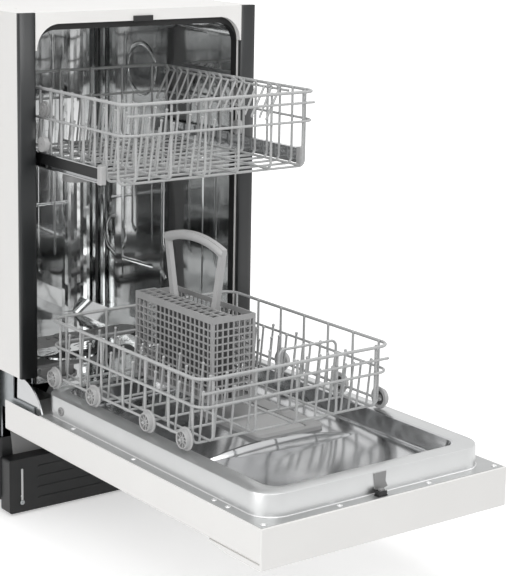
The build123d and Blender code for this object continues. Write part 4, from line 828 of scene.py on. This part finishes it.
# %% Grate of the basket
COVER_RIM = 3.0
COVER_BAR = 3.0
COVER_ROWS = 13
CROSSBAR_INSET = 0.1
cover_low, cover_high = (Vector(corner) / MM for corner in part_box("basket_cover"))
x0, y0, z0 = cover_low
x1, y1, z1 = cover_high
grate = four_bars(cover_low, cover_high, COVER_RIM)
grate.append(block(((x0 + x1 - COVER_BAR) / 2, y0 + COVER_RIM, z0),
                   ((x0 + x1 + COVER_BAR) / 2, y1 - COVER_RIM, z1)))
for row in range(1, COVER_ROWS):
    y = y0 + COVER_RIM / 2 + (y1 - y0 - COVER_RIM) * row / COVER_ROWS
    grate.append(block((x0 + COVER_RIM, y - COVER_BAR / 2, z0 + CROSSBAR_INSET),
                       (x1 - COVER_RIM, y + COVER_BAR / 2, z1 - CROSSBAR_INSET)))
cover_grate = add_piece("cover_grate", joined(*grate), mid_plastic, "basket_cover")
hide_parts("basket_cover")

# %% [markdown]
# The catch on the front edge of the door is small: a black box with a grey tongue, and a grey
# flap above it on the wall of the liner. Box and tongue replace the plain solids, and the tongue
# keeps room below it for its press.

# %% Door catch
CATCH_X = (-15.0, -1.0)
CATCH_Y = (-571.5, -561.5)
CATCH_WALL = 1.6
CATCH_INSET = 0.2
LIP_OUT = 1.5
LIP_SINK = 0.4
LIP_HEIGHT = 1.2
CATCH_HEIGHT = 7.0
PRESS = 5.2
TONGUE_ENDS = (4.0, 2.0)
TONGUE_AIR = 0.6
TONGUE_RISE = 2.2
left, right = CATCH_X
near, far = CATCH_Y
lip = flange_top + LIP_HEIGHT
head = flange_top + CATCH_HEIGHT
catch = joined(
    block((left - LIP_OUT, near, flange_top - LIP_SINK), (right + LIP_OUT, far, lip)),
    block((left, near + CATCH_INSET, lip), (right, near + CATCH_WALL, head)),
    block((left, far - CATCH_WALL, lip), (right, far - CATCH_INSET, head)),
    block((left, near + CATCH_WALL, lip), (left + CATCH_WALL, far - CATCH_WALL, head)))
catch_box = add_piece("catch_box", catch, black_plastic, "door")
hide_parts("door_latch")
tongue = block((left + TONGUE_ENDS[0], near + CATCH_WALL + TONGUE_AIR, lip + PRESS),
               (right - TONGUE_ENDS[1], far - CATCH_WALL - TONGUE_AIR, head + TONGUE_RISE))
catch_tongue = add_piece("catch_tongue", tongue, grey_plastic, "latch_tongue")
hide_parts("latch_tongue")
FLAP = [(-14.0, 230.0), (-12.0, 207.0), (-2.0, 204.0), (11.0, 208.0), (7.0, 216.0), (8.0, 230.0)]
FLAP_OUT = 0.7
FLAP_THICK = 4.0
flap_front = LINER_FRONT - FLAP_OUT
flap = prism(FLAP, flap_front, flap_front + FLAP_THICK, axis=1)
add_piece("catch_flap", flap, grey_plastic, "door")

# %% [markdown]
# The fold-down shelf has more wires than the solid: one between each two, and a short stub on the
# heads that stay clear of the hoops when the shelf swings. All of it swings with the shelf.

# %% Wires of the cup shelf
SHELF_WIRE = 1.9
STUB_LENGTH = 9
STUB = Vector((-0.65, 0, 0.76)) * STUB_LENGTH
STUB_ROOT = 0.1
HOOP_AIR = 6.0
heads = sorted((place / MM for place in shelf_heads), key=lambda place: place.y)
tails = sorted((place / MM for place in shelf_tails), key=lambda place: place.y)
drop = tails[0] - heads[0]
between = [(first + second) / 2 for first, second in zip(heads, heads[1:])]
shelf_paths = [([head + drop, head], False) for head in between]
hoop_rows = [place.y / MM for place in hoop_tops]
stubbed = [head for head in heads + between
           if all(abs(head.y - row) > HOOP_AIR for row in hoop_rows)]
shelf_paths += [([head - STUB * STUB_ROOT, head + STUB], False) for head in stubbed]
print("heads:", len(heads + between), "stubs:", len(stubbed))
wires("shelf_wires", shelf_paths, SHELF_WIRE, coated_wire, "cup_shelf")

# %% [markdown]
# The liner of the door is a deep pressing: a steep wall, a flat track on which the wheels run, and
# a hollow with sloping sides. Rounded loops at rising heights are joined into one sheet, with a
# second set below them for the thickness. It reaches nearer to the edges of the door than the
# plain solid does. The bed is polished, the track and the wall are satin, and a thin bead runs
# round the foot. The bead is bright zinc, paler than the liner, and is partly a painted highlight.

# %% Pressed liner
LINER_TAIL = 31.5
LINER_SHEET = 0.8
LINER_CREASE = math.radians(40)
TRACK = 233.0
WALL_FOOT = 200.25
FOOT_RADIUS = 40
HOLLOW_INSET = 20.0
# Each loop: inset at the sides, the front and the tail, radius of the corners, height.
TRAY = (
    (44.5, 40.5, 37.0, 14, BED), (41.0, 36.5, 33.5, 16, BED + 2.5),
    (33.5, 28.5, 26.0, 22, TRACK - 1.5), (30.5, 25.5, 23.0, 24, TRACK),
    (4.0, 4.0, 4.0, 36, TRACK), (1.8, 1.8, 1.8, 38, TRACK - 1.0),
    (0.9, 0.9, 0.9, 39, TRACK - 3.5), (0.0, 0.0, 0.0, FOOT_RADIUS, WALL_FOOT))
TRACK_AND_WALL = range(3, 8)
CAPS = 2
FOOT_BEAD = 0.9
FOOT_BEAD_LIFT = 0.3
FOOT_BEAD_OUT = 0.5


def rounded(half, front, tail, radius, steps=10):
    loop = []
    ends = ((half, tail), (-half, tail), (-half, front), (half, front))
    for quarter, (x, y) in enumerate(ends):
        loop += arc(x - math.copysign(radius, x), y - radius if y == tail else y + radius,
                    radius, QUARTER * quarter, QUARTER, steps)
    return loop


def tray_loops(sink):
    """Loops from the bed to the foot of the wall, moved into the sheet by the sink."""
    loops = []
    for side, front, tail, radius, z in TRAY:
        shift = sink if side < HOLLOW_INSET else -sink
        height = z - sink if z > WALL_FOOT else z
        plan = rounded(LINER_HALF - side - shift, LINER_FRONT + front + shift,
                       LINER_TAIL - tail - shift, radius)
        loops.append([(x, y, height) for x, y in plan])
    return loops


loops = tray_loops(0.0) + list(reversed(tray_loops(LINER_SHEET)))
pressed_liner = add_piece("pressed_liner", loft(loops), polished_steel, "door", True)
pressed_liner.data.set_sharp_from_angle(angle=LINER_CREASE)
pressed_liner.data.materials.append(satin_steel)
for number, face in enumerate(pressed_liner.data.polygons):
    if (number - CAPS) // len(loops[0]) in TRACK_AND_WALL:
        face.material_index = 1
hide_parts("door_liner")
# The bead takes the pale zinc finish, which is brighter than the liner. It is partly a painted
# highlight along the foot of the wall.
foot_plan = rounded(LINER_HALF + FOOT_BEAD_OUT, LINER_FRONT - FOOT_BEAD_OUT,
                    LINER_TAIL, FOOT_RADIUS)
foot_loop = [(x, y, flange_top + FOOT_BEAD_LIFT) for x, y in foot_plan]
wires("liner_foot_bead", [(foot_loop, True)], FOOT_BEAD, screw_steel, "door")

# %% [markdown]
# A small round plug closes a hole in the left wall of the liner, near the hinge. It is a turned
# ring.

# %% Plug in the liner
PLUG = [(-1.6, 3.4), (-1.6, 6.0), (-0.8, 7.0), (0.9, 7.0), (0.9, 3.4)]
PLUG_STEPS = 28
PLUG_PLACE = (-LINER_HALF, -30.0, 213.0)
plug_points, plug_faces = lathe(PLUG, PLUG_STEPS)
plug_points = [[value + move * MM for value, move in zip(point, PLUG_PLACE)]
               for point in plug_points]
add_piece("liner_plug", (plug_points, plug_faces), grey_plastic, "door")

# %% [markdown]
# The grip of the basket is a thick round bar along the bow, with blunt ends that stand out past
# the legs.

# %% Grip of the basket
GRIP = 7.5
GRIP_LIFT = 0.2
GRIP_SHORT = 2
GRIP_STEPS = 20
BLUNT_FROM = 0.95
BLUNT = 0.75
SAG = 14.0
handle_low, handle_high = (Vector(corner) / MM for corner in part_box("basket_handle"))
grip_middle = (handle_low + handle_high) / 2
grip_half = (handle_high.y - handle_low.y) / 2 - GRIP_SHORT
grip_path = []
for step in range(GRIP_STEPS + 1):
    t = 2 * step / GRIP_STEPS - 1
    grip_path.append((grip_middle.x, grip_middle.y + t * grip_half,
                      handle_high.z - GRIP + GRIP_LIFT - SAG * t * t,
                      1.0 if abs(t) < BLUNT_FROM else BLUNT))
wires("basket_grip", [(grip_path, False)], GRIP, light_plastic, "basket")

# %% [markdown]
# The upper rack carries a second pair of rollers above the first, for its lower position. They are
# turned with two steps. The rails hold a black strip in which the rollers run. Its black is partly
# painted shade, standing for the dark deep in each channel.

# %% Spare rollers and rail strips
STEPPED = [(-4, 1.5), (-4, 13), (-1, 13), (-1, 10.5), (2, 10.5), (2, 6), (4, 6), (4, 1.5)]
ROLLER_STEPS = 32
ROLLER_INSET = 4
ROLLER_LIFT = 54.0
roller_low, roller_high = (Vector(corner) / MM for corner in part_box("rack_rollers"))
ROLLER = solid("roller_pattern", *lathe(STEPPED, ROLLER_STEPS))
out = (roller_high.x - ROLLER_INSET) * MM
across = (roller_low.y + roller_high.y) / 2 * MM
height = ((roller_low.z + roller_high.z) / 2 + ROLLER_LIFT) * MM
spare = repeated("spare_rollers", ROLLER, [(out, across, height), (-out, across, height)],
                 grey_plastic, LEFT_AND_RIGHT)
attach(spare, "upper_rack")
bpy.data.objects.remove(ROLLER)
# The black strip in each channel is partly a roller strip and partly painted shade inside the
# channel.
RAIL_WEB = 8.0
STRIP_SIDES = (0.1, 1.1)
STRIP_FROM_END = 6
STRIP_FROM_EDGE = 4
rail_low, rail_high = (Vector(corner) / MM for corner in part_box("slide_rails"))
strips = []
for side in (-1, 1):
    near, far = sorted(side * (rail_high.x - RAIL_WEB + face) for face in STRIP_SIDES)
    strips.append(block((near, rail_low.y + STRIP_FROM_END, rail_low.z + STRIP_FROM_EDGE),
                        (far, rail_high.y - STRIP_FROM_END, rail_high.z - STRIP_FROM_EDGE)))
add_piece("rail_strips", joined(*strips), black_plastic, "rail_pair")

# %% [markdown]
# The stage: one pale floor that keeps the soft shadow of the machine and pales to white further
# away, like a lit paper sweep. Only the camera sees it pale; the mirrors of steel see the floor at
# its near level.

# %% Floor
REACH = 30.0
FLOOR_ROUGHNESS = 0.9
NEAR_GLOW = 0.42
FAR_GLOW = 0.95
GLOW_FROM = 0.8
GLOW_TO = 2.6
floor_mesh = bpy.data.meshes.new("floor")
floor_mesh.from_pydata([(-REACH, -REACH, 0), (REACH, -REACH, 0), (REACH, REACH, 0),
                        (-REACH, REACH, 0)], [], [(0, 1, 2, 3)])
floor = link(bpy.data.objects.new("floor", floor_mesh))
floor_finish, tree, shader, place = finish_named("pale_paper_floor")
shader.inputs["Base Color"].default_value = linear("#EDEDED")
shader.inputs["Roughness"].default_value = FLOOR_ROUGHNESS
shader.inputs["Specular IOR Level"].default_value = 0.0
ray = add_node(tree, "ShaderNodeLightPath")
away = add_node(tree, "ShaderNodeVectorMath", {"operation": "LENGTH"}, {0: place})
sweep = add_node(tree, "ShaderNodeMapRange", None,
                 {"Value": away.outputs["Value"], "From Min": GLOW_FROM, "From Max": GLOW_TO,
                  "To Min": NEAR_GLOW, "To Max": FAR_GLOW})
direct = add_node(tree, "ShaderNodeMath", {"operation": "MULTIPLY"},
                  {0: ray.outputs["Is Camera Ray"], 1: sweep.outputs["Result"]})
mirrored = add_node(tree, "ShaderNodeMath", {"operation": "MULTIPLY"},
                    {0: ray.outputs["Is Glossy Ray"], 1: NEAR_GLOW})
glow = add_node(tree, "ShaderNodeMath", {"operation": "MAXIMUM"},
                {0: direct.outputs["Value"], 1: mirrored.outputs["Value"]})
shader.inputs["Emission Color"].default_value = (1, 1, 1, 1)
tree.links.new(glow.outputs["Value"], shader.inputs["Emission Strength"])
floor_mesh.materials.append(floor_finish)
print("floor:", 2 * REACH, "m square")

# %% [markdown]
# The camera sees the surroundings as white, and so do the mirrors of steel. As a light they are
# weaker, so that the lamps shape the object.

# %% Surroundings
ROOM_LIGHT = 0.45
ROOM_SEEN = 1.0
world = bpy.data.worlds.new("studio")
bpy.context.scene.world = world
world.use_nodes = True
tree = world.node_tree
backdrop = tree.nodes["Background"]
backdrop.inputs["Color"].default_value = (1, 1, 1, 1)
ray = add_node(tree, "ShaderNodeLightPath")
mirrors = add_node(tree, "ShaderNodeMath", {"operation": "MAXIMUM"},
                   {0: ray.outputs["Is Glossy Ray"], 1: ray.outputs["Is Transmission Ray"]})
seen = add_node(tree, "ShaderNodeMath", {"operation": "MAXIMUM"},
                {0: ray.outputs["Is Camera Ray"], 1: mirrors.outputs["Value"]})
strength = add_node(tree, "ShaderNodeMapRange", None,
                    {"Value": seen.outputs["Value"], "To Min": ROOM_LIGHT, "To Max": ROOM_SEEN})
tree.links.new(strength.outputs["Result"], backdrop.inputs["Strength"])
print("surroundings:", world.name)

# %% [markdown]
# Four soft boxes: a broad key above the door, on the camera's left, a second one further round
# to the left, a fill on the right, and a top light that reaches into the tub.

# %% Lamps


def soft_box(name, place, target, width, height, power):
    lamp = bpy.data.lights.new(name, "AREA")
    lamp.shape = "RECTANGLE"
    lamp.size = width
    lamp.size_y = height
    lamp.energy = power
    holder = link(bpy.data.objects.new(name, lamp))
    holder.location = place
    aim = Vector(target) - Vector(place)
    holder.rotation_euler = aim.to_track_quat("-Z", "Y").to_euler()


soft_box("key", (-1.6, -2.4, 2.6), (0, 0, 0.4), width=2.4, height=2.0, power=38)
soft_box("side", (-2.8, -0.7, 1.1), (0, -0.2, 0.3), width=1.8, height=1.8, power=22)
soft_box("fill", (2.4, -1.6, 1.5), (0, 0, 0.4), width=1.4, height=1.4, power=16)
soft_box("above", (0.2, -0.6, 3.0), (0, -0.2, 0.2), width=1.4, height=1.4, power=26)
print("lamps:", [lamp.name for lamp in bpy.data.lights])

# %% [markdown]
# The camera stands where the picture was taken: left of the door, a little above the
# machine, looking down about eleven degrees with a long lens. The frame is shifted down, as
# with a view camera, and the horizon leans by one degree.

# %% Camera
YAW = 0.6407
PITCH = -0.1887
ROLL = 0.01697
EYE_PLACE = (-1.524, -2.2925, 1.038)
LENS = 109.0
SENSOR = 36.0
SHIFT = (0.004, -0.139)
FAR_CLIP = 100.0
ahead = Vector((math.sin(YAW) * math.cos(PITCH), math.cos(YAW) * math.cos(PITCH), math.sin(PITCH)))
level_right = Vector((math.cos(YAW), -math.sin(YAW), 0))
level_up = level_right.cross(ahead)
right = math.cos(ROLL) * level_right + math.sin(ROLL) * level_up
up = right.cross(ahead)
eye = bpy.data.cameras.new("camera")
eye.lens = LENS
eye.sensor_width = SENSOR
eye.shift_x, eye.shift_y = SHIFT
eye.clip_end = FAR_CLIP
viewer = link(bpy.data.objects.new("camera", eye))
turned = Matrix((right, up, -ahead)).transposed().to_4x4()
turned.translation = EYE_PLACE
viewer.matrix_world = turned
bpy.context.scene.camera = viewer
bpy.context.scene.view_settings.view_transform = "Standard"
print("camera at:", EYE_PLACE, "lens:", LENS)
